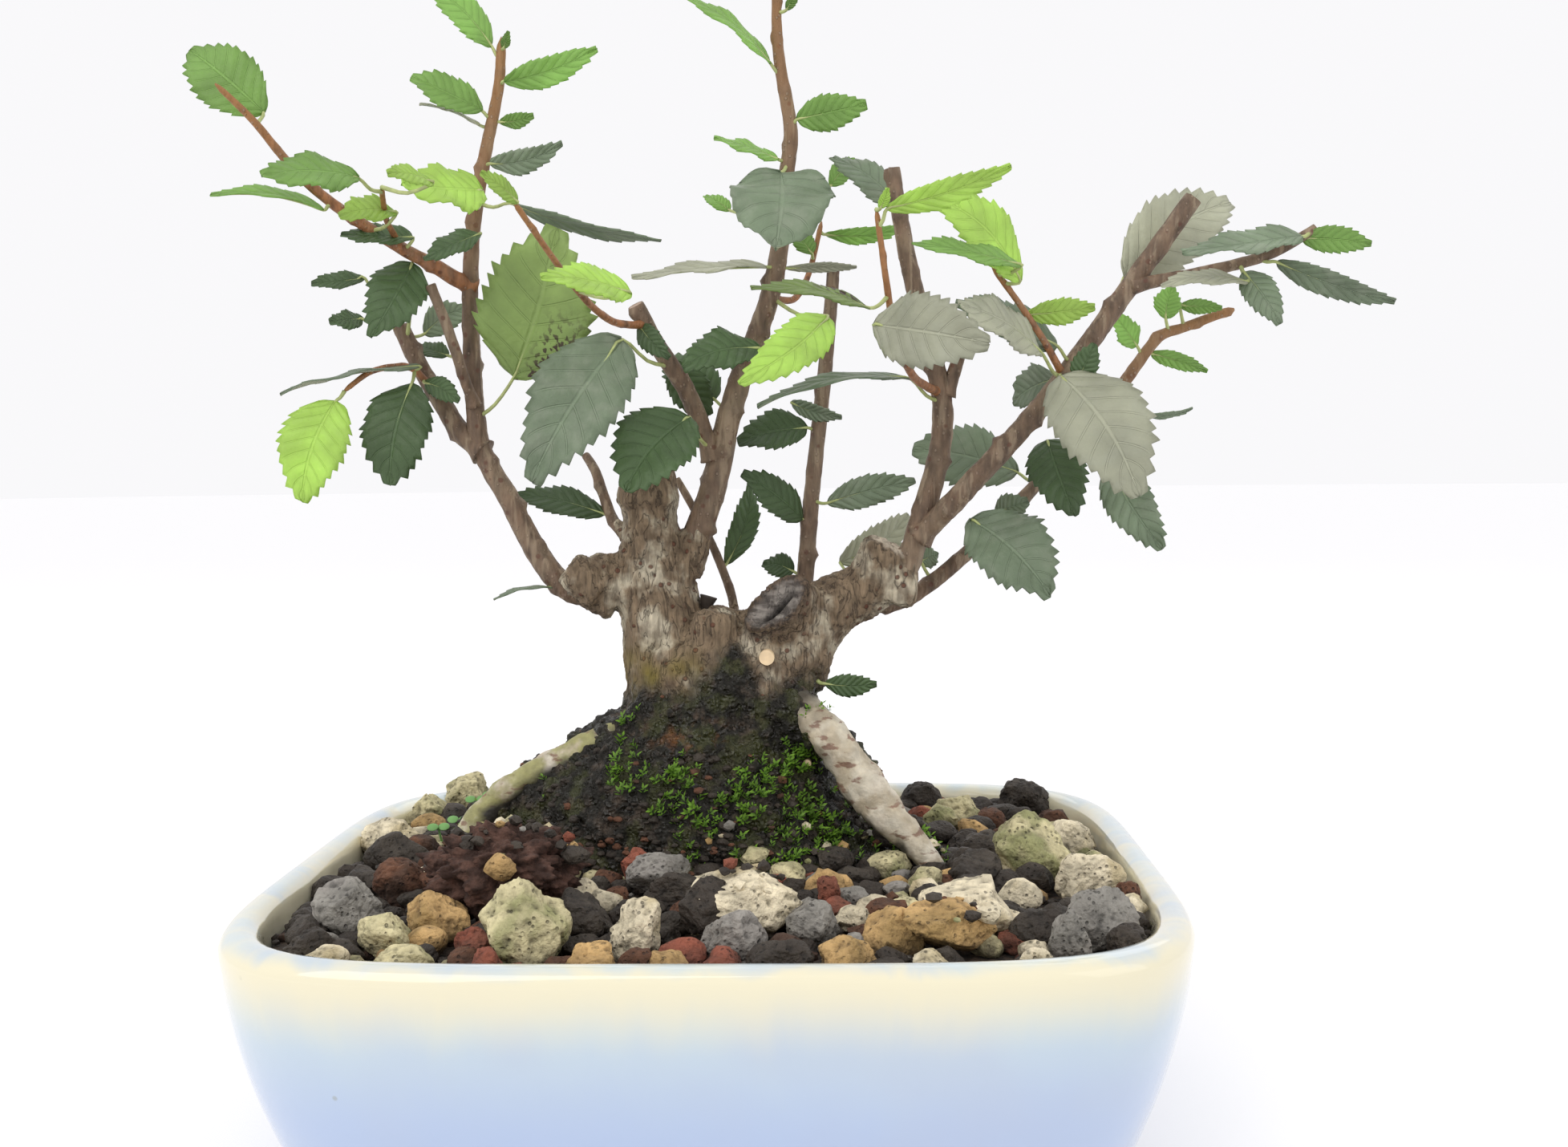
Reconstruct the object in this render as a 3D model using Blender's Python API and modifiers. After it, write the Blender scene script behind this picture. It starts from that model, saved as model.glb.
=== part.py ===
"""Small elm bonsai in a glazed, rounded square pot.

Units are metres, +Z is up and the pot's feet stand on Z = 0. The pot's front faces -Y.
Points of the plant are written in millimetres in the plant's own frame: its zero lies on
the grit under the trunk, X runs to the right, Y away from the front and Z upwards.
"""
import math

import bmesh
import bpy
from mathutils import Matrix, Vector, noise

MM = 0.001

# ---------------------------------------------------------------- overall sizes
POT_WIDTH = 0.130
POT_HEIGHT = 0.037
TREE_HEIGHT = 0.145
DRAWN_TREE_HEIGHT = 0.145
PART_SHIFT_X = -0.0114

# ---------------------------------------------------------------- pot
WALL = 0.005
FLOOR = 0.005
FOOT_HEIGHT = 0.006
FOOT_WIDTH = 0.009
FOOT_STEP = 0.0008
FOOT_LENGTH = 0.018
ARCH_HEIGHT = 0.0053
TAPER = 0.0072
TAPER_POWER = 1.8
LIP_RADIUS = 0.0025
FLOOR_FILLET = 0.006
SQUARENESS = 4.9
POT_SEGMENTS = 48
DRAIN_RADIUS = 0.005
DRAIN_SPACING = 0.044

# ---------------------------------------------------------------- drain mesh and its wire clip
MESH_THICKNESS = 0.0008
MESH_CELLS = 5
MESH_BAR = 0.0008
MESH_OPENING = 0.0024
WIRE_RADIUS = 0.0005
CLIP_FOOT = 0.006

# ---------------------------------------------------------------- soil
GAP = 0.0003
SOIL_DROP = 0.0023
SOIL_EDGE_DROP = 0.0045
SOIL_CROWN_RADIUS = 0.034

# ---------------------------------------------------------------- plant
PLANT_BACK = 0.011
BARK_SWELL = 0.0008
TRUNK_VOXEL = 0.0010
TRUNK_DETAIL = 0.075
SLEEVE_DETAIL = 0.06
FLARE_DEPTH_AT_GRIT = 0.60
FLARE_DEPTH_AT_NECK = 0.78
NECK_HEIGHT = 0.026
STEM_GAP = 0.0004
STEM_SIDES = 2
STEM_STEPS = 2
LIMB_STEPS = 3
LIMB_SIDES = 4
LEAF_THICKNESS = 0.00036
STALK_WIDTH = 0.0007
LEAF_GAP = 0.0006
LEAF_FACING = Vector((0, -1, 0.35))
BLADE_STATIONS = (0.0, 0.12, 0.26, 0.42, 0.58, 0.74, 0.88, 1.0)
LEAF_FOLD = 0.16
LEAF_ARCH = 0.20
SHARP_ANGLE = math.radians(35)

POT_COLOUR = (0.62, 0.71, 0.80, 1.0)
SOIL_COLOUR = (0.045, 0.036, 0.030, 1.0)
MESH_COLOUR = (0.03, 0.03, 0.03, 1.0)
WIRE_COLOUR = (0.55, 0.50, 0.44, 1.0)
BARK_COLOUR = (0.27, 0.21, 0.15, 1.0)
STEM_COLOUR = (0.16, 0.09, 0.07, 1.0)
SHOOT_COLOUR = (0.36, 0.16, 0.06, 1.0)
LEAF_COLOURS = {
    "fresh": (0.20, 0.45, 0.09, 1.0),
    "lime": (0.38, 0.66, 0.08, 1.0),
    "dark": (0.045, 0.13, 0.05, 1.0),
    "blue": (0.12, 0.23, 0.14, 1.0),
    "beige": (0.35, 0.37, 0.26, 1.0),
    "olive": (0.16, 0.24, 0.05, 1.0),
}

# Limbs of the trunk: name, then (x, y, z, radius) along each limb's middle, in millimetres.
TRUNK_LIMBS = (
    ("left_leader", ((-4, 0, 19, 9), (-7.5, 0, 28, 8), (-9.7, 0, 38, 6.4), (-11, 0, 46, 5.3),
                     (-11.6, 0, 52.5, 4.3), (-11.8, 0, 60, 4.1))),
    ("right_limb", ((2.5, 0, 21, 9), (8.7, 0, 29, 7.4), (12.7, 0, 35.5, 5.8), (17, 0, 39, 4.8),
                    (21, 0, 41, 4.4), (24, 0, 43, 3.8), (25.5, 0, 46, 2.8))),
    ("scar_boss", ((7.5, 2, 32, 5), (8.5, -2, 39.5, 4.8))),
    ("left_knob", ((-10, 0, 39, 4.4), (-15, -1, 42, 3.4), (-19, -1, 44, 3.8), (-21.5, -1, 44.5, 2.8))),
    ("left_root", ((-8, -3, 22, 5), (-17, -4, 17.5, 4), (-26, -5, 13.5, 3.6), (-33, -6, 10, 3.2),
                   (-38, -7, 6, 2.8), (-41, -8, 1, 2.4), (-42, -8, -5, 2))),
    ("right_root", ((6, -6, 25, 4.5), (12, -8, 22.5, 3.6), (17, -9, 19, 3.1), (20, -10, 15, 2.9),
                    (23.5, -11, 10.5, 2.8), (27, -12, 6.5, 2.6), (31, -13, 2.5, 2.4), (34, -14, -5, 2))),
    ("back_root", ((4, 5, 20, 7), (8, 14, 11, 5), (12, 22, 4, 4), (14, 28, -4, 3))),
)
ROOT_FLARE = (
    (-4, 0, -8, 38), (-4, 0, -1, 36), (-4, 0, 5, 32), (-3, 0, 10, 27), (-2, 0, 15, 22),
    (-1, 0, 20, 17.2), (-0.4, 0, 26, 14.6), (-0.2, 0, 32, 13.2), (-0.2, 0, 35.5, 9),
)

# Stems: name, what it grows from, radius at its foot and at its end, colour, points.
STEMS = (
    ("stem_left", "trunk", 2.2, 0.7, "stem",
     ((-16, -1, 44), (-21, -1, 41.5), (-25.5, -1, 43), (-30, 0, 49), (-34, 0, 57), (-38, 0, 65),
      (-39, 0, 79), (-39, 0, 91), (-38, 0, 101), (-36, 0, 111), (-34, 0, 120), (-33.5, 0, 127))),
    ("stem_left_cut", "stem_left", 1.7, 1.3, "stem",
     ((-39, 0, 64), (-41, 1, 66.5), (-44, 2, 71), (-47.5, 3, 76.5), (-51, 4, 83.5))),
    ("shoot_far_left", "stem_left", 1.3, 0.4, "shoot",
     ((-39, 0, 89), (-43.5, -3, 92), (-48, -6, 94.5), (-55.5, -11, 99.5), (-61, -16, 104.5),
      (-65.5, -21, 111), (-70, -25, 116))),
    ("stub_left", "stem_left", 0.9, 0.8, "stem",
     ((-38.5, 0, 71), (-39.5, -3, 74.5), (-41.5, -5, 82), (-44, -6, 89))),
    ("twig_low_left", "stem_left_cut", 0.6, 0.4, "shoot",
     ((-45, 2, 73), (-48, 0, 76.5), (-51, -1, 77), (-54.5, -3, 76), (-58, -5, 73))),
    ("twig_left_near", "shoot_far_left", 0.5, 0.4, "shoot",
     ((-48, -6, 94.5), (-49, -12, 98), (-48, -19, 102))),
    ("stem_middle", "trunk", 2.4, 0.6, "stem",
     ((-8.5, 0, 41), (-5.5, 0, 47.5), (-1.5, 0, 58), (0.5, 0, 67), (3, 0, 75), (7, 0, 85.5),
      (9, 0, 94), (10, 0, 104), (11, 0, 112.5), (9.5, 0, 122), (9, 0, 131), (10, 0, 145))),
    ("stem_middle_cut", "stem_middle", 1.5, 1.3, "stem",
     ((-1, 0, 62), (-2.5, -1, 65.5), (-5.5, -3, 73), (-9.5, -6, 79.5), (-12.5, -8, 85.5))),
    ("twig_front_left", "stem_middle_cut", 0.6, 0.4, "shoot",
     ((-11, -7, 82.5), (-15, -14, 82.5), (-18, -22, 85), (-21, -30, 89.5), (-25.5, -38, 97))),
    ("stem_back", "trunk", 1.5, 1.0, "stem",
     ((12, 5, 37), (12.5, 8, 44), (14, 8, 60), (16, 8, 77), (17.5, 8, 93))),
    ("stem_right", "trunk", 2.2, 1.2, "stem",
     ((22, -1, 41.5), (26, -1, 41.5), (28.5, -1, 45.5), (31, -1, 53.5), (33.5, 0, 62.5),
      (34, 0, 71), (31.5, 0, 82), (29, 0, 92), (26.5, 0, 106.5))),
    ("stub_right", "stem_right", 1.1, 1.0, "stem", ((34, 0, 71), (36, 0, 75.5), (37, 0, 79))),
    ("stem_leaning", "stem_right", 1.8, 1.4, "stem",
     ((30, -1, 50), (33, -3, 52.5), (38.5, -5, 58.5), (45.5, -6, 66), (52.5, -6, 74.5),
      (62, -6, 87.5), (71.5, -6, 100.5))),
    ("shoot_leaning", "stem_leaning", 1.1, 0.7, "stem",
     ((62, -6, 87), (64.5, -7, 88), (68.5, -8, 88.5), (76, -9, 90), (83, -9, 92), (89, -9, 95.5))),
    ("stem_right_back", "trunk", 1.5, 0.7, "stem",
     ((20, 2, 40.5), (26, 6, 39), (31, 8, 41), (38, 8, 46.5), (49.5, 10, 57.5), (62.5, 12, 72),
      (69, 13, 80.5), (73.5, 14, 82.5), (82, 15, 85.5))),
    ("twig_dark", "trunk", 0.8, 0.6, "stem", ((1.5, 4, 33), (0.5, 10, 40), (-3.5, 12, 50), (-8.5, 14, 59))),
    ("twig_leader", "trunk", 1.0, 0.7, "stem", ((-13, 1, 47.5), (-18, 6, 52.5), (-21, 9, 60), (-23, 11, 63))),
    ("twig_front", "stem_right", 0.7, 0.4, "shoot",
     ((33.5, 0, 72), (29.5, -9, 74), (26.5, -19, 79), (25, -26, 86), (23.5, -29, 96.5))),
    ("twig_lime", "stem_leaning", 0.6, 0.4, "shoot",
     ((52, -6, 74), (49, -11, 78.5), (44.5, -15, 84.5), (40.5, -17, 89.5))),
    ("twig_ochre", "stem_middle", 0.6, 0.4, "shoot",
     ((8, 0, 87), (11, 4, 87), (13.5, 8, 91.5), (15.5, 12, 100))),
)

# Leaves: name, stem, where the stalk starts, where the blade starts, its tip, full width,
# turn of the blade in degrees, colour.
LEAVES = (
    ("far_left_tip", "shoot_far_left", (-65, -21, 111), (-65, -19, 113), (-76.5, -17, 123), 9.5, 0, "fresh"),
    ("far_left_side", "shoot_far_left", (-57, -13, 100), (-58, -14, 99.5), (-73.5, -18, 101), 5, 50, "fresh"),
    ("front_left", "twig_left_near", (-48, -18, 101.5), (-50, -24, 102.5), (-61.5, -32, 102), 8, 20, "fresh"),
    ("top_left", "stem_left", (-33.5, 0, 124), (-35, 0, 126), (-43.5, -4, 134.5), 6, 20, "fresh"),
    ("top_left_right", "stem_left", (-34, 0, 120), (-33, -1, 120.5), (-18.5, -3, 124.5), 4.5, 45, "fresh"),
    ("upper_left", "stem_left", (-35.5, 0, 115), (-36.5, -1, 116), (-46.5, -4, 121), 6.5, 20, "fresh"),
    ("deep_lime", "stem_left", (-38, 0, 101), (-35, -10, 102.5), (-45, -20, 102), 9.5, 15, "lime"),
    ("dark_left", "stem_left_cut", (-50, 4, 81.5), (-47, -4, 92.5), (-52.5, -9, 81.5), 9, 0, "dark"),
    ("round_olive", "stem_left", (-38, 0, 69), (-32, -3, 75), (-24, -9, 97), 18, 0, "olive"),
    ("low_lime", "twig_low_left", (-57.5, -5, 73), (-59, -6, 71.5), (-64, -9, 56.5), 10.5, 0, "lime"),
    ("low_dark", "twig_low_left", (-48.5, 0, 76.5), (-48, -2, 74.5), (-51, -7, 59), 10.5, 0, "dark"),
    ("blue_middle", "stem_middle_cut", (-7.5, -4, 76), (-14, -13, 80), (-27, -20, 59.5), 14, 0, "blue"),
    ("dark_middle", "stem_middle", (-0.5, 0, 63.5), (-4.5, -8, 68.5), (-13.5, -16, 58), 12, 0, "dark"),
    ("behind_leader", "twig_leader", (-18, 6, 52.5), (-19.5, 7, 53.5), (-34, 8, 57), 5.5, 20, "dark"),
    ("beige_middle", "stem_middle", (8.5, 0, 92), (7, -2, 91.5), (-13, -8, 89.5), 5.5, 50, "beige"),
    ("heart", "stem_middle", (10.5, 0, 107.5), (9.5, -3, 105.5), (9, -16, 93.5), 15.5, 0, "blue"),
    ("upper_right", "stem_middle", (11, 0, 113), (12, -1, 114), (22.5, -4, 115.5), 5.5, 35, "fresh"),
    ("top_middle", "stem_middle", (9.5, 0, 121), (8, -1, 122.5), (-5.5, -5, 132), 5, 45, "fresh"),
    ("grey_right_top", "stem_right", (28.5, 0, 96.5), (28, 3.5, 100.5), (17.5, 7, 110), 6.5, 20, "blue"),
    ("near_lime", "twig_front", (24, -28, 94.5), (25, -30, 96.5), (41, -38, 100), 4, 50, "lime"),
    ("twig_lime", "twig_lime", (42, -16, 87.5), (44.5, -17, 87.5), (32, -24, 99.5), 8.5, 15, "lime"),
    ("tall_beige", "stem_leaning", (60, -6, 85), (61.5, -3, 89), (80, 4, 102), 11, 10, "beige"),
    ("leaning_top", "shoot_leaning", (88, -9, 95), (86.5, -11, 94), (68, -16, 91), 6, 30, "blue"),
    ("far_right", "shoot_leaning", (80.5, -9, 91.5), (83, -10, 90.5), (99.5, -13, 83.5), 4, 50, "blue"),
    ("big_beige", "stem_leaning", (52.5, -6, 74.5), (51, -11, 74), (61, -22, 57), 14, 0, "beige"),
    ("blotchy", "stem_right_back", (39, 8, 47), (38, -6, 52.5), (49, -16, 41.5), 11.5, 0, "blue"),
    ("near_pale", "twig_front", (27.5, -17, 77.5), (23, -30, 80.5), (37, -42, 77.5), 10, 20, "beige"),
    ("long_grey", "stem_right", (34, 0, 70), (29, -5, 74), (6, -14, 72), 6, 55, "blue"),
    ("right_green", "stem_right_back", (52, 10, 60.5), (50.5, 2, 64.5), (54, -4, 53.5), 9, 0, "dark"),
    ("back_left_dark", "stem_back", (13.5, 8, 51.5), (12, 7, 52.5), (3, 2, 60), 6, 15, "dark"),
)

# Large stones on the grit: name, x, y, size along x, y and z, colour.
STONES = (
    ("stone_cream", 5, -41, 15, 11, 9, (0.78, 0.68, 0.50, 1.0)),
    ("stone_ochre", 31, -47, 12, 9, 7, (0.58, 0.36, 0.15, 1.0)),
    ("peat_lump", -27, -31, 21, 15, 13, (0.10, 0.05, 0.035, 1.0)),
)


# ================================================================ small helpers
def clear_scene():
    for obj in list(bpy.data.objects):
        bpy.data.objects.remove(obj, do_unlink=True)


def new_collection(name):
    collection = bpy.data.collections.new(name)
    bpy.context.scene.collection.children.link(collection)
    return collection


def new_material(name, colour, roughness, metallic=0.0):
    material = bpy.data.materials.new(name)
    material.use_nodes = True
    shader = material.node_tree.nodes["Principled BSDF"]
    shader.inputs["Base Color"].default_value = colour
    shader.inputs["Roughness"].default_value = roughness
    shader.inputs["Metallic"].default_value = metallic
    return material


def add_object(name, mesh, collection, material=None):
    obj = bpy.data.objects.new(name, mesh)
    collection.objects.link(obj)
    if material:
        mesh.materials.append(material)
    mesh.shade_smooth()
    mesh.set_sharp_from_angle(angle=SHARP_ANGLE)
    return obj


def add_cutter(name, mesh):
    cutter = bpy.data.objects.new(name, mesh)
    CUTTERS.objects.link(cutter)
    cutter.hide_render = True
    cutter.display_type = "WIRE"
    return cutter


def subtract(obj, cutter):
    cut = obj.modifiers.new("cut_" + cutter.name, "BOOLEAN")
    cut.operation = "DIFFERENCE"
    cut.object = cutter
    cut.solver = "EXACT"


def evaluated_mesh(obj):
    """The object's mesh after its modifiers, with loose caps welded; the object is removed."""
    bpy.context.view_layer.update()
    graph = bpy.context.evaluated_depsgraph_get()
    mesh = bpy.data.meshes.new_from_object(obj.evaluated_get(graph))
    bm = bmesh.new()
    bm.from_mesh(mesh)
    bmesh.ops.remove_doubles(bm, verts=bm.verts, dist=1e-6)
    bmesh.ops.recalc_face_normals(bm, faces=bm.faces)
    bm.to_mesh(mesh)
    bm.free()
    bpy.data.objects.remove(obj, do_unlink=True)
    return mesh


def box_mesh(name, low, high):
    bm = bmesh.new()
    bmesh.ops.create_cube(bm, size=1.0)
    size = Vector(high) - Vector(low)
    bmesh.ops.scale(bm, vec=size, verts=bm.verts)
    bmesh.ops.translate(bm, vec=(Vector(high) + Vector(low)) / 2, verts=bm.verts)
    mesh = bpy.data.meshes.new(name)
    bm.to_mesh(mesh)
    bm.free()
    return mesh


def tube_mesh(name, points, radii, sides=STEM_SIDES):
    """A closed tube along points, with its own radius at each of them."""
    curve = bpy.data.curves.new(name, "CURVE")
    curve.dimensions = "3D"
    curve.bevel_depth = 1.0
    curve.bevel_resolution = sides
    curve.use_fill_caps = True
    spline = curve.splines.new("POLY")
    spline.points.add(len(points) - 1)
    for spot, point, radius in zip(spline.points, points, radii):
        spot.co = (*point, 1.0)
        spot.radius = radius
    guide = bpy.data.objects.new(name + "_guide", curve)
    CUTTERS.objects.link(guide)
    return evaluated_mesh(guide)


# ================================================================ pot, soil and drainage
def outer_half_width(depth):
    """Half of the pot's width at a depth below its rim."""
    body = POT_HEIGHT - FOOT_HEIGHT
    share = min(depth / body, 1.0)
    return POT_WIDTH / 2 - TAPER * share**TAPER_POWER


def inner_profile(gap):
    """(radius, z) points from the middle of the pot's floor up its inner wall, kept off it by gap."""
    floor_z = FOOT_HEIGHT + FLOOR
    fillet_z = floor_z + FLOOR_FILLET
    wall_r = outer_half_width(POT_HEIGHT - fillet_z) - WALL
    points = [(0.0, floor_z + gap)]
    for step in range(4):
        angle = math.radians(30 * step)
        radius = FLOOR_FILLET - gap
        reach = wall_r - FLOOR_FILLET + radius * math.sin(angle)
        points.append((reach, fillet_z - radius * math.cos(angle)))
    for share in (0.35, 0.65, 1.0):
        z = fillet_z + (POT_HEIGHT - LIP_RADIUS - fillet_z) * share
        points.append((outer_half_width(POT_HEIGHT - z) - WALL - gap, z))
    return points


def pot_profile():
    points = inner_profile(0.0)
    lip_r = POT_WIDTH / 2 - LIP_RADIUS
    for degrees in (135, 90, 45, 0):
        angle = math.radians(degrees)
        lip_z = POT_HEIGHT + LIP_RADIUS * (math.sin(angle) - 1)
        points.append((lip_r + LIP_RADIUS * math.cos(angle), lip_z))
    body = POT_HEIGHT - FOOT_HEIGHT
    for share in (0.3, 0.5, 0.68, 0.84, 1.0):
        points.append((outer_half_width(body * share), POT_HEIGHT - body * share))
    foot_r = outer_half_width(body) - FOOT_STEP
    points += [(foot_r, FOOT_HEIGHT), (foot_r, 0.0)]
    points += [(foot_r - FOOT_WIDTH, 0.0), (foot_r - FOOT_WIDTH, FOOT_HEIGHT), (0.0, FOOT_HEIGHT)]
    return points


def soil_height(radius):
    """Height of the grit at a radius measured to the pot's flat side."""
    edge = POT_WIDTH / 2 - WALL
    share = min(max((radius - SOIL_CROWN_RADIUS) / (edge - SOIL_CROWN_RADIUS), 0.0), 1.0)
    return POT_HEIGHT - SOIL_DROP - (SOIL_EDGE_DROP - SOIL_DROP) * share


def soil_profile():
    wall = [point for point in inner_profile(GAP) if point[1] < POT_HEIGHT - SOIL_EDGE_DROP - GAP]
    edge_z = POT_HEIGHT - SOIL_EDGE_DROP
    edge_r = outer_half_width(SOIL_EDGE_DROP) - WALL - GAP
    crown = SOIL_CROWN_RADIUS
    top = [(0.0, soil_height(0.0)), (crown * 0.7, soil_height(crown * 0.7)), (crown, soil_height(crown))]
    return top + [(edge_r, edge_z)] + wall[::-1]


def squared_turning(name, profile):
    """A profile turned about Z, its round section then stretched into a rounded square."""
    mesh = bpy.data.meshes.new(name)
    bm = bmesh.new()
    spots = [bm.verts.new((radius, 0.0, z)) for radius, z in profile]
    for first, second in zip(spots, spots[1:]):
        bm.edges.new((first, second))
    bm.to_mesh(mesh)
    bm.free()
    guide = bpy.data.objects.new(name + "_profile", mesh)
    CUTTERS.objects.link(guide)
    screw = guide.modifiers.new("turn", "SCREW")
    screw.steps = POT_SEGMENTS
    screw.render_steps = POT_SEGMENTS
    screw.use_merge_vertices = True
    screw.merge_threshold = 1e-5
    turned = evaluated_mesh(guide)
    for vertex in turned.vertices:
        angle = math.atan2(vertex.co.y, vertex.co.x)
        reach = abs(math.cos(angle)) ** SQUARENESS + abs(math.sin(angle)) ** SQUARENESS
        stretch = reach ** (-1 / SQUARENESS)
        vertex.co.x *= stretch
        vertex.co.y *= stretch
    return turned


def drain_centres():
    return [(-DRAIN_SPACING / 2, "left"), (DRAIN_SPACING / 2, "right")]


def drain_mesh(name, centre, radius=DRAIN_RADIUS):
    bm = bmesh.new()
    place = Matrix.Translation((centre, 0, FOOT_HEIGHT))
    bmesh.ops.create_cone(
        bm, cap_ends=True, segments=24, radius1=radius, radius2=radius, depth=4 * FLOOR, matrix=place
    )
    mesh = bpy.data.meshes.new(name)
    bm.to_mesh(mesh)
    bm.free()
    return mesh


def make_pot():
    """A turned and squared bowl, its foot ring cut away between the corners, with two drain holes."""
    glaze = new_material("pot_glaze", POT_COLOUR, 0.12)
    pot = add_object("pot", squared_turning("pot", pot_profile()), PART, glaze)
    reach = POT_WIDTH
    arch = outer_half_width(POT_HEIGHT - FOOT_HEIGHT) - FOOT_LENGTH
    for name, x, y in (("arch_along_x", reach, arch), ("arch_along_y", arch, reach)):
        subtract(pot, add_cutter(name, box_mesh(name, (-x, -y, -0.001), (x, y, ARCH_HEIGHT))))
    for centre, side in drain_centres():
        name = "drain_" + side
        subtract(pot, add_cutter(name, drain_mesh(name, centre)))


def mesh_half_width():
    return (MESH_CELLS * (MESH_OPENING + MESH_BAR) + MESH_BAR) / 2


def make_drain_mesh(centre, side, material):
    """A flat plastic grid that lies on the pot's floor over one drain hole."""
    half = mesh_half_width()
    bottom = FOOT_HEIGHT + FLOOR + GAP
    name = "drain_mesh_" + side
    low = (centre - half, -half, bottom)
    high = (centre + half, half, bottom + MESH_THICKNESS)
    plate = add_object(name, box_mesh(name, low, high), PART, material)
    pitch = MESH_OPENING + MESH_BAR
    bm = bmesh.new()
    for column in range(MESH_CELLS):
        for row in range(MESH_CELLS):
            x = centre - half + MESH_BAR + MESH_OPENING / 2 + pitch * column
            y = -half + MESH_BAR + MESH_OPENING / 2 + pitch * row
            place = Matrix.Translation((x, y, bottom)) @ Matrix.Diagonal((1, 1, 2, 1))
            bmesh.ops.create_cube(bm, size=MESH_OPENING, matrix=place)
    holes = bpy.data.meshes.new("mesh_holes_" + side)
    bm.to_mesh(holes)
    bm.free()
    subtract(plate, add_cutter("mesh_holes_" + side, holes))


def make_clip(centre, side, material):
    """A bent wire through two cells of the mesh, spread under the pot's floor."""
    leg = MESH_OPENING + MESH_BAR
    top = FOOT_HEIGHT + FLOOR + GAP + MESH_THICKNESS + GAP + WIRE_RADIUS
    under = FOOT_HEIGHT - GAP - WIRE_RADIUS
    bend = 1.2 * WIRE_RADIUS
    half = [
        (leg + CLIP_FOOT, under),
        (leg + bend, under),
        (leg, under + bend),
        (leg, top - bend),
        (leg - bend, top),
    ]
    points = [(centre - x, 0.0, z) for x, z in half] + [(centre + x, 0.0, z) for x, z in half[::-1]]
    name = "mesh_clip_" + side
    add_object(name, tube_mesh(name, points, [WIRE_RADIUS] * len(points)), PART, material)


def make_soil(trunk_sleeve):
    peat = new_material("soil", SOIL_COLOUR, 0.95)
    soil = add_object("soil", squared_turning("soil", soil_profile()), PART, peat)
    subtract(soil, trunk_sleeve)
    half = mesh_half_width() + GAP
    clip_top = FOOT_HEIGHT + FLOOR + MESH_THICKNESS + 3 * GAP + 2 * WIRE_RADIUS
    for centre, side in drain_centres():
        name = "mesh_seat_" + side
        low = (centre - half, -half, FOOT_HEIGHT)
        high = (centre + half, half, clip_top)
        subtract(soil, add_cutter(name, box_mesh(name, low, high)))


# ================================================================ plant
def plant_scale():
    return TREE_HEIGHT / DRAWN_TREE_HEIGHT


def to_part(point):
    """A point of the plant, in millimetres, as a place in the part."""
    scale = MM * plant_scale()
    origin = Vector((0.0, PLANT_BACK, POT_HEIGHT - SOIL_DROP))
    return origin + Vector(point[:3]) * scale


def smooth_path(points, steps=STEM_STEPS):
    """A Catmull-Rom curve through points, read at even steps between them."""
    points = [Vector(point) for point in points]
    ends = [points[0] * 2 - points[1]] + points + [points[-1] * 2 - points[-2]]
    path = []
    for i in range(len(points) - 1):
        before, start, end, after = ends[i : i + 4]
        for step in range(steps):
            t = step / steps
            pull = (end - before) * t
            bend = (before * 2 - start * 5 + end * 4 - after) * t**2
            twist = (start * 3 - before - end * 3 + after) * t**3
            path.append(start + (pull + bend + twist) / 2)
    return path + [points[-1]]


def flatten_flare(tube):
    """Narrows the root flare from front to back, more at the grit than at the neck."""
    grit = to_part((0, 0, 0))
    for vertex in tube.vertices:
        share = min(max((vertex.co.z - grit.z) / NECK_HEIGHT, 0.0), 1.0)
        depth = FLARE_DEPTH_AT_GRIT + (FLARE_DEPTH_AT_NECK - FLARE_DEPTH_AT_GRIT) * share
        vertex.co.y = grit.y + (vertex.co.y - grit.y) * depth


def trunk_mesh(name, swell, detail):
    """All limbs of the trunk grown into one skin, thicker by swell."""
    bm = bmesh.new()
    flare = [(*to_part(row), row[3] * MM + swell) for row in ROOT_FLARE]
    limbs = []
    for _, rows in TRUNK_LIMBS:
        limbs.append([(*to_part(row), row[3] * MM + swell) for row in rows])
    for number, limb in enumerate([flare] + limbs):
        path = smooth_path([row[:3] for row in limb], LIMB_STEPS)
        path[0] += (path[0] - path[1]).normalized() * swell
        path[-1] += (path[-1] - path[-2]).normalized() * swell
        sizes = smooth_path([(row[3], 0.0, 0.0) for row in limb], LIMB_STEPS)
        tube = tube_mesh("limb", path, [size.x for size in sizes], LIMB_SIDES)
        if number == 0:
            flatten_flare(tube)
        bm.from_mesh(tube)
        bpy.data.meshes.remove(tube)
    mesh = bpy.data.meshes.new(name)
    bm.to_mesh(mesh)
    bm.free()
    guide = bpy.data.objects.new(name + "_limbs", mesh)
    CUTTERS.objects.link(guide)
    skin = guide.modifiers.new("skin", "REMESH")
    skin.mode = "VOXEL"
    skin.voxel_size = TRUNK_VOXEL
    soften = guide.modifiers.new("soften", "SMOOTH")
    soften.factor = 0.5
    soften.iterations = 3
    thin = guide.modifiers.new("thin", "DECIMATE")
    thin.ratio = detail
    return evaluated_mesh(guide)


class Stem:
    """One unbranched stem: its path in the part and its radius along the path."""

    def __init__(self, points, foot_radius, end_radius):
        self.path = smooth_path(points)
        last = len(self.path) - 1
        self.radii = [foot_radius + (end_radius - foot_radius) * i / last for i in range(last + 1)]

    def nearest(self, spot):
        """The place on the stem's middle line nearest to spot, its direction there and its radius."""
        best = None
        for i in range(len(self.path) - 1):
            start, end = self.path[i], self.path[i + 1]
            along = end - start
            share = min(max((spot - start).dot(along) / along.length_squared, 0.0), 1.0)
            place = start + along * share
            distance = (spot - place).length
            if best is None or distance < best[0]:
                radius = self.radii[i] + (self.radii[i + 1] - self.radii[i]) * share
                best = (distance, place, along.normalized(), radius)
        return best[1:]


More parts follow.
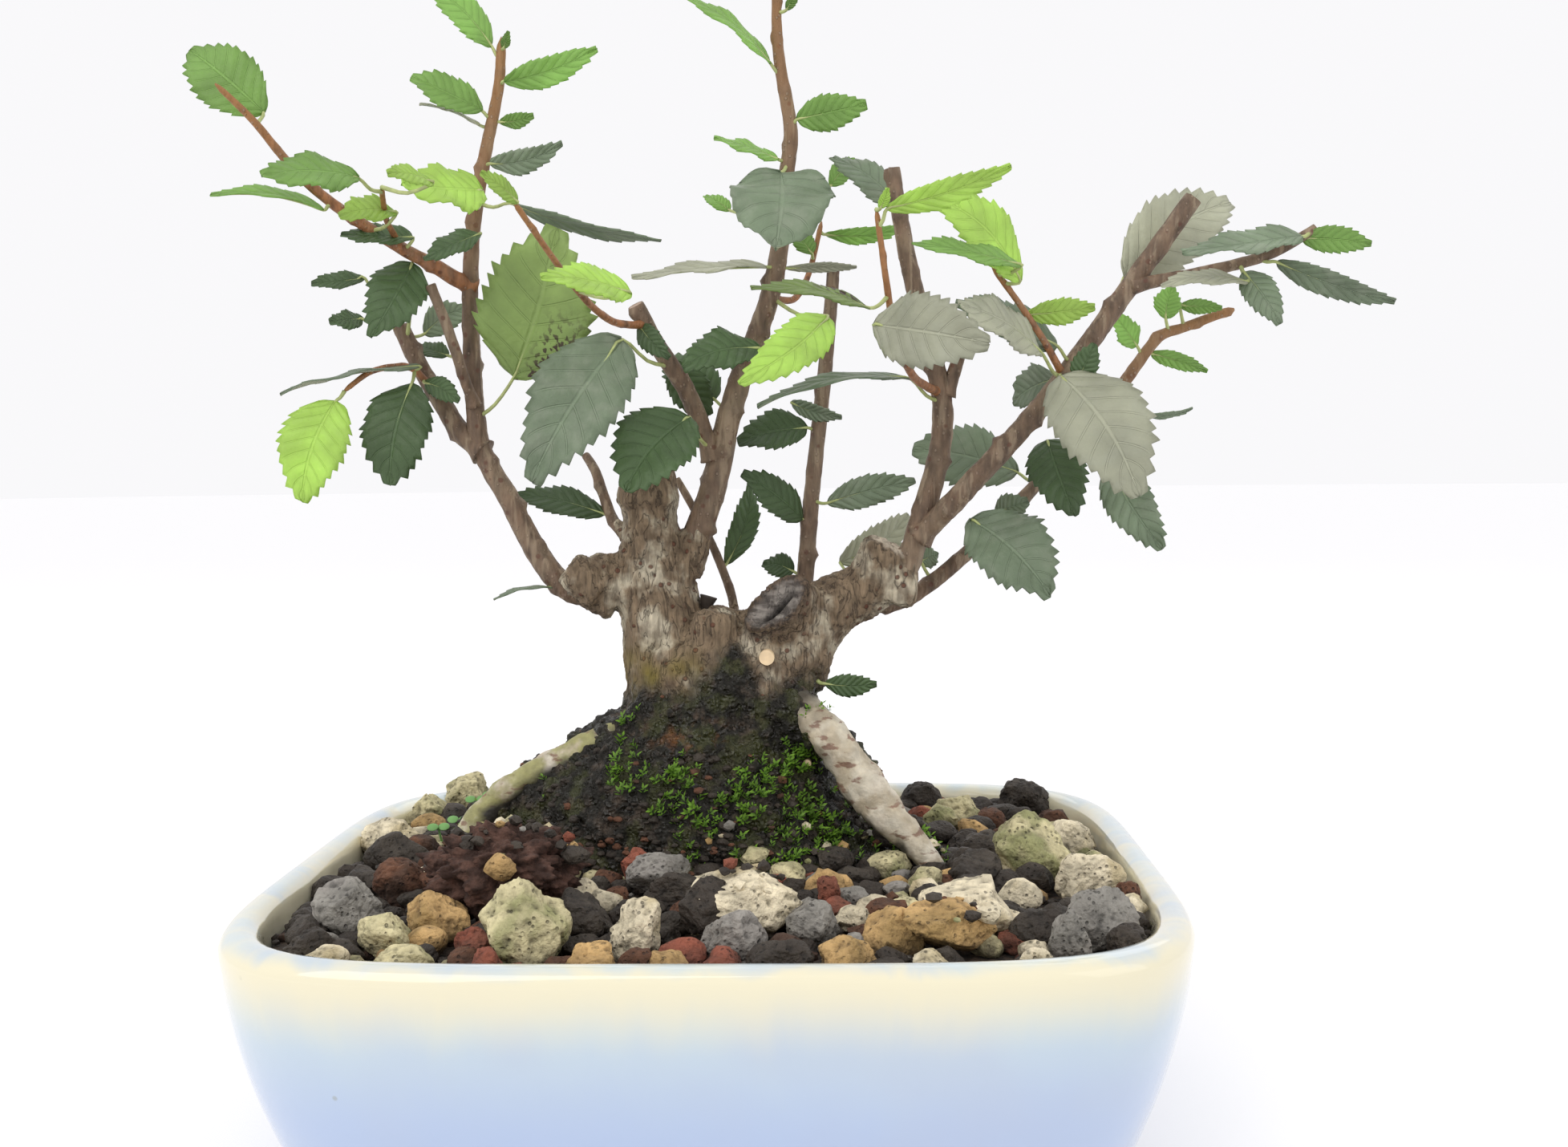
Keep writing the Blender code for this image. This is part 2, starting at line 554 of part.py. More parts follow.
def stem_sleeve(name, stem):
    """A cutter just thicker than a stem, made once for each stem that others grow from."""
    sleeve = bpy.data.objects.get("sleeve_" + name)
    if sleeve:
        return sleeve
    swollen = [radius + STEM_GAP for radius in stem.radii]
    return add_cutter("sleeve_" + name, tube_mesh("sleeve_" + name, stem.path, swollen))


def make_stems(trunk_sleeve):
    """Each stem starts inside its parent and is cut back to just off the parent's bark."""
    materials = {
        "stem": new_material("stem_bark", STEM_COLOUR, 0.7),
        "shoot": new_material("young_shoot", SHOOT_COLOUR, 0.55),
    }
    stems = {}
    for name, parent, foot_mm, end_mm, kind, points in STEMS:
        places = [to_part(point) for point in points]
        if parent != "trunk":
            places[0] = stems[parent].nearest(places[0])[0]
        stem = Stem(places, foot_mm * MM, end_mm * MM)
        stems[name] = stem
        obj = add_object(name, tube_mesh(name, stem.path, stem.radii), PART, materials[kind])
        subtract(obj, trunk_sleeve if parent == "trunk" else stem_sleeve(parent, stems[parent]))
    return stems


def blade_width(share):
    """Half-width of a leaf along its blade, as a share of its full half-width."""
    return math.sin(math.pi * share**0.78) ** 0.8


def leaf_frame(base, tip, turn):
    """The blade's length, its direction, the way it faces and the direction across it."""
    axis = tip - base
    length = axis.length
    axis.normalize()
    face = LEAF_FACING - axis * axis.dot(LEAF_FACING)
    face.normalize()
    face.rotate(Matrix.Rotation(math.radians(turn), 3, axis))
    return length, axis, face, face.cross(axis)


def make_leaf(row, stems, materials):
    """A thin, slightly folded and arched blade on its stalk, held just off its stem."""
    name, stem_name, foot, base, tip, width, turn, colour = row
    place, along, radius = stems[stem_name].nearest(to_part(foot))
    base = to_part(base)
    length, axis, face, across = leaf_frame(base, to_part(tip), turn)
    away = base - place
    sideways = away - along * away.dot(along)
    sideways.normalize()
    start = place + sideways * (radius + LEAF_GAP)
    stalk = (base - start).normalized()
    stalk_across = across - stalk * across.dot(stalk)
    if stalk_across.length < 0.3:
        stalk_across = axis - stalk * axis.dot(stalk)
    stalk_across.normalize()
    bm = bmesh.new()
    bmesh.ops.create_grid(bm, x_segments=len(BLADE_STATIONS), y_segments=2, size=0.5)
    for vertex in bm.verts:
        column = round((vertex.co.x + 0.5) * len(BLADE_STATIONS))
        side = round(vertex.co.y * 2)
        if column == 0:
            vertex.co = start + stalk_across * (side * STALK_WIDTH / 2)
            continue
        share = BLADE_STATIONS[column - 1]
        half = max(blade_width(share) * width * MM * plant_scale() / 2, STALK_WIDTH / 2)
        lift = LEAF_ARCH * length * (share - share**2) + LEAF_FOLD * half * abs(side)
        vertex.co = base + axis * (length * share) + across * (half * side) + face * lift
    mesh = bpy.data.meshes.new("leaf_" + name)
    bm.to_mesh(mesh)
    bm.free()
    leaf = add_object("leaf_" + name, mesh, PART, materials[colour])
    wall = leaf.modifiers.new("blade", "SOLIDIFY")
    wall.thickness = LEAF_THICKNESS
    wall.offset = 0.0


def make_stone(row):
    """A worn stone that rests on the grit."""
    name, x, y, size_x, size_y, size_z, colour = row
    spread = max(abs(x), abs(y)) * MM
    bm = bmesh.new()
    bmesh.ops.create_icosphere(bm, subdivisions=2, radius=0.5)
    for vertex in bm.verts:
        vertex.co *= 1.0 + 0.22 * noise.noise(vertex.co * 2.3 + Vector((x, y, 0)))
    bmesh.ops.scale(bm, vec=(size_x * MM, size_y * MM, size_z * MM), verts=bm.verts)
    lowest = min(vertex.co.z for vertex in bm.verts)
    place = Vector((x * MM, y * MM, soil_height(spread - size_y * MM / 2) - lowest + GAP))
    bmesh.ops.translate(bm, vec=place, verts=bm.verts)
    mesh = bpy.data.meshes.new(name)
    bm.to_mesh(mesh)
    bm.free()
    add_object(name, mesh, PART, new_material(name, colour, 0.9))


def shift_part():
    """Centres the whole part over its origin: every piece hangs on one empty."""
    handle = bpy.data.objects.new("part_origin", None)
    PART.objects.link(handle)
    handle.location = (PART_SHIFT_X, 0.0, 0.0)
    for collection in (PART, CUTTERS):
        for obj in collection.objects:
            if obj != handle:
                obj.parent = handle


def main():
    make_pot()
    mesh_plastic = new_material("mesh_plastic", MESH_COLOUR, 0.6)
    wire = new_material("clip_wire", WIRE_COLOUR, 0.35, 1.0)
    for centre, side in drain_centres():
        make_drain_mesh(centre, side, mesh_plastic)
        make_clip(centre, side, wire)
    bark = new_material("trunk_bark", BARK_COLOUR, 0.85)
    add_object("trunk", trunk_mesh("trunk", 0.0, TRUNK_DETAIL), PART, bark)
    trunk_sleeve = add_cutter("trunk_sleeve", trunk_mesh("trunk_sleeve", BARK_SWELL, SLEEVE_DETAIL))
    make_soil(trunk_sleeve)
    stems = make_stems(trunk_sleeve)
    leaf_materials = {}
    for key, colour in LEAF_COLOURS.items():
        leaf_materials[key] = new_material("leaf_" + key, colour, 0.5)
    for row in LEAVES:
        make_leaf(row, stems, leaf_materials)
    for row in STONES:
        make_stone(row)
    shift_part()


clear_scene()
PART = new_collection("bonsai_in_pot")
CUTTERS = new_collection("cutters")
main()
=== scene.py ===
"""A small elm bonsai in a glazed, rounded square pot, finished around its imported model.

The tree, its leaves, the grit, the moss and the pot are modelled in place: every piece takes its
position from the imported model's own nodes. Lengths in the tables are millimetres in the plant's
frame, whose zero lies on the grit under the trunk, with X to the right, Y to the back and Z up.
"""
import math
import random

import bmesh
import bpy
from bpy.props import FloatProperty, FloatVectorProperty, IntProperty, PointerProperty
from mathutils import Matrix, Quaternion, Vector, noise
from mathutils.bvhtree import BVHTree


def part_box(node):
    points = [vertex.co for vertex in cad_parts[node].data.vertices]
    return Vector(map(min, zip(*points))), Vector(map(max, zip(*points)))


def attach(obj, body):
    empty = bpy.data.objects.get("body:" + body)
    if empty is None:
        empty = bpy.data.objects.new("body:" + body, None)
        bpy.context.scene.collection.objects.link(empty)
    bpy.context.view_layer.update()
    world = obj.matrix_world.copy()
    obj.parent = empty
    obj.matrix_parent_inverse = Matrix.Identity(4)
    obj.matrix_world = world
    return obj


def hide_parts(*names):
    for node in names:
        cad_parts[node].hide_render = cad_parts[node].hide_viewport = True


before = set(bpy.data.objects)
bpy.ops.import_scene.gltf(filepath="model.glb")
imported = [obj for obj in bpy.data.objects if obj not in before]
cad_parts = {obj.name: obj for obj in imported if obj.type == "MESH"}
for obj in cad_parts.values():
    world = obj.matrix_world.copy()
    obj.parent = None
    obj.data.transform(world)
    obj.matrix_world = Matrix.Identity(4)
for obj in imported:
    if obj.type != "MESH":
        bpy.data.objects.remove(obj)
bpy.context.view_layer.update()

bl_info = {
    "name": "Elm bonsai in a glazed pot",
    "version": (1, 0, 0),
    "blender": (4, 5, 0),
    "location": "View3D > Sidebar > Bonsai",
    "description": "Models a small elm bonsai with its pot, grit and moss",
    "category": "Object",
}

MM = 0.001
POT_LOW, POT_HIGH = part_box("pot")
POT_MIDDLE = Vector(((POT_LOW.x + POT_HIGH.x) / 2, (POT_LOW.y + POT_HIGH.y) / 2, 0.0))
POT_WIDTH = POT_HIGH.x - POT_LOW.x
RIM = POT_HIGH.z
SOIL_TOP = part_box("soil")[1].z
PLANT_BACK = 0.011
PLANT = Vector((POT_MIDDLE.x, POT_MIDDLE.y + PLANT_BACK, SOIL_TOP))

# Stems: node, what it grows from, bark, and whether its end was cut or still grows.
STEMS = (
    ("stem_left", "trunk", "stem", "growing"),
    ("stem_left_cut", "stem_left", "stem", "cut"),
    ("shoot_far_left", "stem_left", "shoot", "growing"),
    ("stub_left", "stem_left", "stem", "cut"),
    ("twig_low_left", "stem_left_cut", "shoot", "growing"),
    ("twig_left_near", "shoot_far_left", "shoot", "growing"),
    ("stem_middle", "trunk", "stem", "growing"),
    ("stem_middle_cut", "stem_middle", "stem", "cut"),
    ("twig_front_left", "stem_middle_cut", "shoot", "growing"),
    ("stem_back", "trunk", "stem", "cut"),
    ("stem_right", "trunk", "stem", "cut"),
    ("stub_right", "stem_right", "stem", "cut"),
    ("stem_leaning", "stem_right", "stem", "cut"),
    ("shoot_leaning", "stem_leaning", "stem", "cut"),
    ("stem_right_back", "trunk", "stem", "growing"),
    ("twig_dark", "trunk", "stem", "cut"),
    ("twig_leader", "trunk", "stem", "cut"),
    ("twig_front", "stem_right", "shoot", "growing"),
    ("twig_lime", "stem_leaning", "shoot", "growing"),
    ("twig_ochre", "stem_middle", "shoot", "growing"),
)

# Leaf nodes by the side of the leaf that faces the front.
LEAF_KINDS = {
    "fresh": ("far_left_tip", "far_left_side", "front_left", "top_left", "top_left_right",
              "upper_left", "upper_right", "top_middle"),
    "lime": ("deep_lime", "low_lime", "near_lime", "twig_lime"),
    "dark": ("dark_left", "low_dark", "dark_middle", "behind_leader", "right_green", "back_left_dark"),
    "blue": ("blue_middle", "heart", "grey_right_top", "leaning_top", "far_right", "blotchy", "long_grey"),
    "beige": ("beige_middle", "tall_beige", "big_beige", "near_pale"),
    "olive": ("round_olive",),
}

# Smaller leaves: kind, stem, where the blade starts, its tip, full width, turn in degrees.
SMALL_LEAVES = (
    ("beige", "stem_left", (-37, 0, 114), (-46, -2, 117), 4, 60),
    ("fresh", "stem_left", (-34, 0, 114.5), (-28.5, -2, 115), 2.5, 45),
    ("blue", "stem_left", (-35.5, -1, 108), (-24, -4, 110), 4, 50),
    ("blue", "stem_left", (-32, -4, 101.5), (-8.5, -8, 95), 3.5, 75),
    ("lime", "twig_left_near", (-39, -26, 101.5), (-44, -32, 102), 4, 20),
    ("lime", "shoot_far_left", (-47, -14, 99), (-54.5, -18, 98.5), 5.5, 20),
    ("lime", "twig_front_left", (-25, -38, 97), (-29, -42, 100.5), 3, 20),
    ("dark", "shoot_far_left", (-46, -8, 96), (-56.5, -10, 97), 5, 30),
    ("dark", "stem_left", (-36.5, -4, 97), (-44.5, -8, 93), 5, 20),
    ("dark", "stem_left_cut", (-56, 2, 91), (-64, 0, 90.5), 3.5, 20),
    ("dark", "stem_left_cut", (-56, 0, 84.5), (-60.5, -3, 84), 4, 15),
    ("blue", "stem_left_cut", (-48, 7, 82.5), (-41.5, 10, 87), 5, 20),
    ("dark", "stem_left", (-44, 6, 79), (-49.5, 9, 81), 3.5, 20),
    ("blue", "twig_low_left", (-47, -1, 77), (-67.5, -6, 72.5), 5, 60),
    ("dark", "twig_low_left", (-46.5, 0, 74.5), (-40.5, -3, 71.5), 3.5, 20),
    ("blue", "stem_left", (-26.5, -2, 42.5), (-35.5, -5, 42), 2.5, 65),
    ("fresh", "stem_middle", (9, -1, 108), (-0.5, -4, 111), 4.5, 40),
    ("beige", "stem_middle", (10, 0, 91.5), (21, 4, 92), 2, 70),
    ("fresh", "stem_middle", (1, 8, 101.5), (-3, 10, 104.5), 3, 20),
    ("fresh", "stem_middle", (17, 14, 106), (21.5, 18, 111), 3.5, 20),
    ("fresh", "twig_ochre", (16, 12, 98), (29.5, 14, 99), 3, 50),
    ("fresh", "twig_ochre", (14, 8, 94.5), (11, 10, 99), 4, 20),
    ("fresh", "twig_lime", (44.5, -20, 89.5), (29, -27, 93), 4.5, 30),
    ("olive", "twig_front", (22.5, -28, 83), (7.5, -40, 86.5), 4, 35),
    ("beige", "stem_leaning", (48, -15, 77), (35, -26, 83.5), 7.5, 20),
    ("blue", "stem_leaning", (51, -8, 78.5), (36, -12, 85.5), 7.5, 20),
    ("lime", "twig_ochre", (16.5, -8, 83.5), (4.5, -24, 74), 7.5, 0),
    ("dark", "stem_middle", (6, -5, 79), (-5, -11, 76.5), 7.5, 15),
    ("dark", "stem_middle", (-1.5, 5, 71.5), (-9.5, 8, 79.5), 8, 15),
    ("dark", "stem_middle_cut", (-8, 2, 77.5), (-2.5, 5, 69), 6.5, 20),
    ("dark", "stem_middle_cut", (-12, -8, 82.5), (-7.5, -12, 77.5), 3.5, 20),
    ("dark", "stem_back", (13, 7, 67), (2, 5, 65.5), 7.5, 15),
    ("blue", "stem_back", (10.5, 6, 71), (18.5, 2, 68.5), 3, 50),
    ("blue", "stem_back", (16, 6, 55), (30, 3, 58.5), 5, 25),
    ("dark", "stem_back", (10.5, 9, 44), (5.5, 10, 45.5), 4.5, 15),
    ("dark", "twig_dark", (-0.5, 12, 45), (3.5, 16, 58), 4.5, 15),
    ("beige", "stem_right_back", (18, 24, 44.5), (30, 26, 52.5), 6, 20),
    ("blue", "stem_right_back", (47, 14, 59.5), (30, 16, 63.5), 11, 10),
    ("blue", "stem_leaning", (51.5, -2, 74), (45, 2, 70.5), 7, 15),
    ("blue", "stem_right_back", (60, 2, 60.5), (67.5, -3, 48), 7.5, 10),
    ("fresh", "shoot_leaning", (87, -9, 94), (97.5, -9, 93), 4, 30),
    ("beige", "shoot_leaning", (78.5, -12, 87.5), (65.5, -15, 88), 4.5, 40),
    ("blue", "shoot_leaning", (78, -11, 89), (82.5, -15, 81), 5, 10),
    ("fresh", "stem_right_back", (73, 13, 86), (79.5, 12, 85.5), 2.5, 30),
    ("fresh", "stem_right_back", (70.5, 12, 84), (71.5, 12, 89), 4.5, 10),
    ("lime", "twig_lime", (46, -12, 83), (56, -12, 84), 4, 40),
    ("dark", "stem_leaning", (53.5, -10, 73), (56, -12, 78.5), 4, 10),
    ("fresh", "stem_right_back", (66, 12, 79.5), (62, 10, 84.5), 4.5, 10),
    ("fresh", "stem_right_back", (68.5, 14, 78.5), (78, 16, 75.5), 3, 50),
    ("blue", "stem_right_back", (66.5, 12, 68.5), (75, 12, 69), 1.5, 70),
    ("blue", "stem_right_back", (42.5, 4, 53), (47.5, 2, 55), 4.5, 30),
    ("blue", "stem_right_back", (31, 8, 45.5), (34, 10, 46.5), 3.5, 20),
    ("dark", "trunk", (15.5, -5, 27.5), (23.5, -6, 27.5), 3.5, 20),
    ("dark", "trunk", (-19, 3, 20), (-23.5, 4, 18), 2, 20),
    ("lime", "twig_front_left", (-11, -28, 85.5), (-21.5, -38, 87.5), 6.5, 20),
    ("fresh", "stem_middle", (10.5, -1, 130.5), (12.5, -3, 132.5), 1.5, 30),
    ("fresh", "stem_left", (-33, -1, 125.5), (-32, -3, 127.5), 1.5, 20),
    ("lime", "twig_front", (24, -30, 96.5), (25, -32, 99), 1.5, 20),
)

# Stones placed one by one: kind, x and y from the pot's middle, size along x, y and z, and lift.
STONES = (
    ("grey", -48, -36, 9.5, 8, 9.5, 0), ("mossy", -22, -50, 10, 8, 13.5, 0), ("brick", -12, -14, 5, 4.5, 4.5, 2),
    ("grey", -8, -18, 8.5, 6, 6, 1), ("brick", 16, -28, 3, 3, 5, 1), ("grey", 14, -43, 6.5, 6, 7, 0),
    ("grey", 4.5, -49, 8, 7, 7.5, 0), ("ochre", 24, -46, 8.5, 7, 7, 0), ("cream", -8, -47, 7, 6, 8.5, 0),
    ("ochre", -12.5, -56, 6, 5, 6, 0), ("ochre", -3.5, -56, 6, 5, 5, 0), ("ochre", 18.5, -55, 7, 5.5, 6, 0),
    ("cream", 35, -38, 13, 10, 9, 0), ("mossy", 46, -8, 11, 10, 12, 0), ("cream", 54, 14, 8, 7, 7, 0),
    ("cream", 53, -17, 9, 8, 9, 0), ("rust", 57, -25, 4.5, 5, 6, 0), ("grey", 51.5, -41, 9, 8, 9, 0),
    ("grey", 46.5, -48, 5, 5, 7.5, 0), ("lava", 50, 50, 9, 7, 8, 0), ("lava", 32, 48, 7, 6, 7, 0),
    ("cream", -55, 20, 10, 8, 7, 0), ("mossy", -54, 42, 8, 7, 7, 0), ("mossy", -50, 54, 8, 7, 7, 0),
    ("lava", -49, 0, 9, 8, 8, 0), ("rust", -45, -19, 8, 7, 7.5, 0), ("rust", -38, -19, 8, 6, 7, 0),
    ("ochre", -35, -40, 8, 7, 8, 0), ("mossy", -40, -47, 8, 6, 7, 0), ("lava", -16, -42, 8, 7, 8.5, 0),
    ("lava", 0, -43, 8, 7, 7, 0), ("lava", 10.5, -56, 8, 6, 6, 0), ("lava", -5, -27, 8, 6, 6, 0),
    ("brick", -28.5, -48, 5.5, 5, 5.5, 0), ("brick", -26, -56, 4.5, 4, 5, 0), ("cream", 29, -56, 6, 5, 5, 0),
    ("lava", 43, -43, 7, 6, 6.5, 0), ("lava", -49, -49, 7, 6, 6, 0), ("lava", 54, -47, 5.5, 5, 6, 0),
    ("cream", -46, -54, 6, 5, 5, 0), ("mossy", -36, -55, 7, 5, 5, 0), ("cream", 41, -56, 5, 4, 5, 0),
    ("lava", 37, -14, 8, 7, 7, 0), ("lava", 40, 4, 7, 7, 6, 0), ("mossy", 38, 38, 8, 6, 6, 0),
)

# Moss cushions on the front of the mound: x and z of the middle, half width and half height, sprigs.
MOSS_CUSHIONS = (
    (-14.5, 15, 3, 3, 26), (-6.5, 14.5, 3.5, 2.5, 30), (-8, 11, 3, 2, 16), (7, 14, 4.5, 3, 46), (12, 16, 3, 3, 40),
    (13, 8, 4.5, 4, 60), (3, 10, 4, 3, 36), (17, 4, 4, 3, 44), (20, 10, 2.5, 4, 24), (9, 3, 5, 3, 40),
    (-2, 8, 3, 2, 12), (35, 1.5, 4, 2, 46), (31, 5, 2, 2, 16), (40, -1, 3, 1.5, 18), (-15, 22, 1.5, 2, 8),
    (14, 24, 1.5, 2, 8), (24, 2, 3, 2, 18),
)

# Roots laid bare on the mound: x, y, z and radius along the root's middle.
LEFT_ROOT = ((-8, -2, 22, 2.4), (-13, -4.6, 20.6, 2.6), (-18, -5.6, 18.9, 2.5), (-24, -6, 16.2, 2.4), (-30, -7, 13.4, 2.2),
             (-35, -8, 10.3, 2.1), (-38.6, -9, 6.5, 1.9), (-41, -10, 2.2, 1.6), (-42, -10.5, -1.5, 1.3))
RIGHT_ROOT = ((8, -3, 25.5, 1.7), (11.5, -6.5, 24.6, 2.4), (14.0, -9.4, 22.4, 2.8), (17.0, -11.5, 19.2, 3.0), (19.6, -12.5, 15.6, 2.9),
              (21.8, -13.5, 12.4, 3.4), (24.8, -14.5, 9, 2.8), (28.2, -15.5, 5.4, 2.2), (31.2, -16.5, 2, 1.7),
              (33.2, -17, -1, 1.3))


# ================================================================ sizes and colours a user may change
def colour(name, description, default):
    return FloatVectorProperty(name=name, description=description, default=default, size=3, subtype="COLOR")


class PotSettings(bpy.types.PropertyGroup):
    lip_radius: FloatProperty(name="Lip radius", description="Rounding of the lip", default=0.0025, unit="LENGTH")
    wall: FloatProperty(name="Wall", description="Thickness of the wall", default=0.005, unit="LENGTH")
    lip_glaze: colour("Lip glaze", "Where the glaze runs thin and warm", (0.80, 0.74, 0.53))
    upper_glaze: colour("Upper glaze", "Just under the lip", (0.54, 0.64, 0.68))
    lower_glaze: colour("Lower glaze", "Where the glaze is thick", (0.44, 0.54, 0.74))
    fleck: colour("Flecks", "Iron flecks in the glaze", (0.30, 0.30, 0.20))


class WoodSettings(bpy.types.PropertyGroup):
    bark_depth: FloatProperty(name="Bark depth", description="Relief of the old bark", default=0.00032, unit="LENGTH")
    old_bark: colour("Old bark", "Weathered bark of the trunk", (0.215, 0.155, 0.098))
    pale_bark: colour("Pale bark", "Worn patches", (0.50, 0.44, 0.33))
    wet_base: colour("Wet base", "Damp crust over the roots", (0.016, 0.014, 0.010))
    bare_root: colour("Bare root", "Roots above the grit", (0.52, 0.44, 0.33))
    stem_bark: colour("Stem bark", "Bark of the cut stems", (0.150, 0.096, 0.060))
    shoot_bark: colour("Shoot bark", "Bark of this year's shoots", (0.30, 0.125, 0.05))


class LeafSettings(bpy.types.PropertyGroup):
    tooth: FloatProperty(name="Tooth", description="Depth of a tooth as a share of half the width", default=0.12)
    thickness: FloatProperty(name="Thickness", description="Thickness of a blade", default=0.00022, unit="LENGTH")
    fresh: colour("Fresh", "Young leaves", (0.29, 0.50, 0.13))
    lime: colour("Lime", "Youngest leaves", (0.48, 0.70, 0.15))
    dark: colour("Dark", "Full-grown leaves", (0.075, 0.128, 0.050))
    blue: colour("Blue grey", "Dusty full-grown leaves", (0.185, 0.245, 0.155))
    beige: colour("Beige", "Undersides", (0.40, 0.41, 0.30))
    olive: colour("Olive", "The old spotted leaf", (0.20, 0.29, 0.08))


class GritSettings(bpy.types.PropertyGroup):
    stones: IntProperty(name="Stones", description="Loose stones scattered on the soil", default=420)
    crumbs: IntProperty(name="Crumbs", description="Fine crumbs between the stones", default=1300)
    crust: IntProperty(name="Crust", description="Wet crumbs stuck to the mound", default=650)
    cream: colour("Cream", "Pumice", (0.86, 0.76, 0.55))
    ochre: colour("Ochre", "Baked clay, light", (0.62, 0.40, 0.17))
    mossy: colour("Mossy", "Pumice with algae", (0.66, 0.59, 0.35))
    grey: colour("Grey", "Grey lava", (0.29, 0.275, 0.245))
    lava: colour("Dark lava", "Wet dark lava", (0.040, 0.030, 0.022))
    brick: colour("Brick", "Red lava", (0.33, 0.10, 0.06))
    rust: colour("Rust", "Brown lava", (0.15, 0.065, 0.035))
    peat: colour("Peat", "The lump of peat", (0.042, 0.020, 0.014))


class MossSettings(bpy.types.PropertyGroup):
    sprig: FloatProperty(name="Sprig", description="Height of a sprig", default=0.0017, unit="LENGTH")
    tip: colour("Tips", "Tips of the moss", (0.22, 0.42, 0.03))
    foot: colour("Foot", "Older moss below", (0.045, 0.12, 0.012))


class StageSettings(bpy.types.PropertyGroup):
    lens: FloatProperty(name="Lens", description="Focal length in millimetres", default=43.31)
    floor: colour("Floor", "The table under the pot", (0.55, 0.547, 0.553))
    glow: FloatProperty(name="Glow", description="Light from under the white cloth", default=0.79)
    key: FloatProperty(name="Key light", description="Power of the large front light", default=3.0, unit="POWER")
    sky: FloatProperty(name="Sky", description="Brightness of the room", default=0.96)


SETTINGS = {
    "bonsai_pot": PotSettings,
    "bonsai_wood": WoodSettings,
    "bonsai_leaf": LeafSettings,
    "bonsai_grit": GritSettings,
    "bonsai_moss": MossSettings,
    "bonsai_stage": StageSettings,
}


# ================================================================ finishes
class Finish:
    """A Principled material with short ways to add the nodes that vary it. Patterns are in millimetres."""

    def __init__(self, name, roughness, **sockets):
        self.material = bpy.data.materials.new(name)
        self.material.use_nodes = True
        self.tree = self.material.node_tree
        self.shader = self.tree.nodes["Principled BSDF"]
        self.shader.inputs["Roughness"].default_value = roughness
        for socket, value in sockets.items():
            self.shader.inputs[socket.replace("_", " ").title()].default_value = value
        self.place = self.add("ShaderNodeTexCoord").outputs["Object"]

    def add(self, kind, **values):
        made = self.tree.nodes.new(kind)
        for name, value in values.items():
            setattr(made, name, value)
        return made

    def feed(self, socket, value):
        if isinstance(value, bpy.types.NodeSocket):
            self.tree.links.new(value, socket)
        elif hasattr(value, "__len__") and len(value) == 3 and len(socket.default_value) == 4:
            socket.default_value = (*value, 1.0)
        else:
            socket.default_value = value

    def scaled(self, stretch):
        mapping = self.add("ShaderNodeMapping")
        mapping.inputs["Scale"].default_value = [1000 * part for part in stretch]
        self.tree.links.new(self.place, mapping.inputs["Vector"])
        return mapping.outputs["Vector"]

    def noise(self, scale, detail=4.0, stretch=(1, 1, 1), distortion=0.0):
        texture = self.add("ShaderNodeTexNoise")
        texture.inputs["Scale"].default_value = scale
        texture.inputs["Detail"].default_value = detail
        texture.inputs["Distortion"].default_value = distortion
        self.tree.links.new(self.scaled(stretch), texture.inputs["Vector"])
        return texture.outputs["Fac"]

    def cells(self, scale, stretch=(1, 1, 1), output="Distance", feature="F1"):
        texture = self.add("ShaderNodeTexVoronoi", feature=feature)
        texture.inputs["Scale"].default_value = scale
        self.tree.links.new(self.scaled(stretch), texture.inputs["Vector"])
        return texture.outputs[output]

    def math(self, operation, first, second=0.0, third=0.0, clamp=False):
        made = self.add("ShaderNodeMath", operation=operation, use_clamp=clamp)
        for socket, value in zip(made.inputs, (first, second, third)):
            self.feed(socket, value)
        return made.outputs["Value"]

    def fade(self, value, low, high):
        """0 at low to 1 at high, smoothly."""
        made = self.add("ShaderNodeMapRange", interpolation_type="SMOOTHSTEP", clamp=True)
        self.feed(made.inputs["Value"], value)
        made.inputs["From Min"].default_value = low
        made.inputs["From Max"].default_value = high
        return made.outputs["Result"]

    def axis(self, name):
        split = self.add("ShaderNodeSeparateXYZ")
        self.tree.links.new(self.place, split.inputs["Vector"])
        return split.outputs[name]

    def attribute(self, name, output="Fac"):
        return self.add("ShaderNodeAttribute", attribute_name=name).outputs[output]

    def mix(self, share, first, second, blend="MIX"):
        made = self.add("ShaderNodeMix", data_type="RGBA", blend_type=blend)
        self.feed(made.inputs["Factor"], share)
        self.feed(made.inputs[6], first)
        self.feed(made.inputs[7], second)
        return made.outputs[2]

    def tint(self, base, share, low=0.75, high=1.25):
        """The colour base made darker or lighter by share."""
        made = self.add("ShaderNodeMapRange")
        self.feed(made.inputs["Value"], share)
        made.inputs["From Min"].default_value = 0.25
        made.inputs["From Max"].default_value = 0.75
        made.inputs["To Min"].default_value = low
        made.inputs["To Max"].default_value = high
        grey = self.add("ShaderNodeCombineColor")
        for socket in grey.inputs:
            self.tree.links.new(made.outputs["Result"], socket)
        return self.mix(1.0, base, grey.outputs["Color"], "MULTIPLY")

    def colour(self, value):
        self.feed(self.shader.inputs["Base Color"], value)

    def roughness(self, value):
        self.feed(self.shader.inputs["Roughness"], value)

    def bump(self, height, distance, strength=1.0):
        made = self.add("ShaderNodeBump")
        made.inputs["Strength"].default_value = strength
        made.inputs["Distance"].default_value = distance
        self.feed(made.inputs["Height"], height)
        self.tree.links.new(made.outputs["Normal"], self.shader.inputs["Normal"])

    def lit_through(self, share, tint):
        """Lets light through a thin blade: part of the surface is a translucent shader."""
        thin = self.add("ShaderNodeBsdfTranslucent")
        self.feed(thin.inputs["Color"], tint)
        both = self.add("ShaderNodeMixShader")
        both.inputs["Fac"].default_value = share
        self.tree.links.new(self.shader.outputs["BSDF"], both.inputs[1])
        self.tree.links.new(thin.outputs["BSDF"], both.inputs[2])
        output = self.tree.nodes["Material Output"]
        self.tree.links.new(both.outputs["Shader"], output.inputs["Surface"])


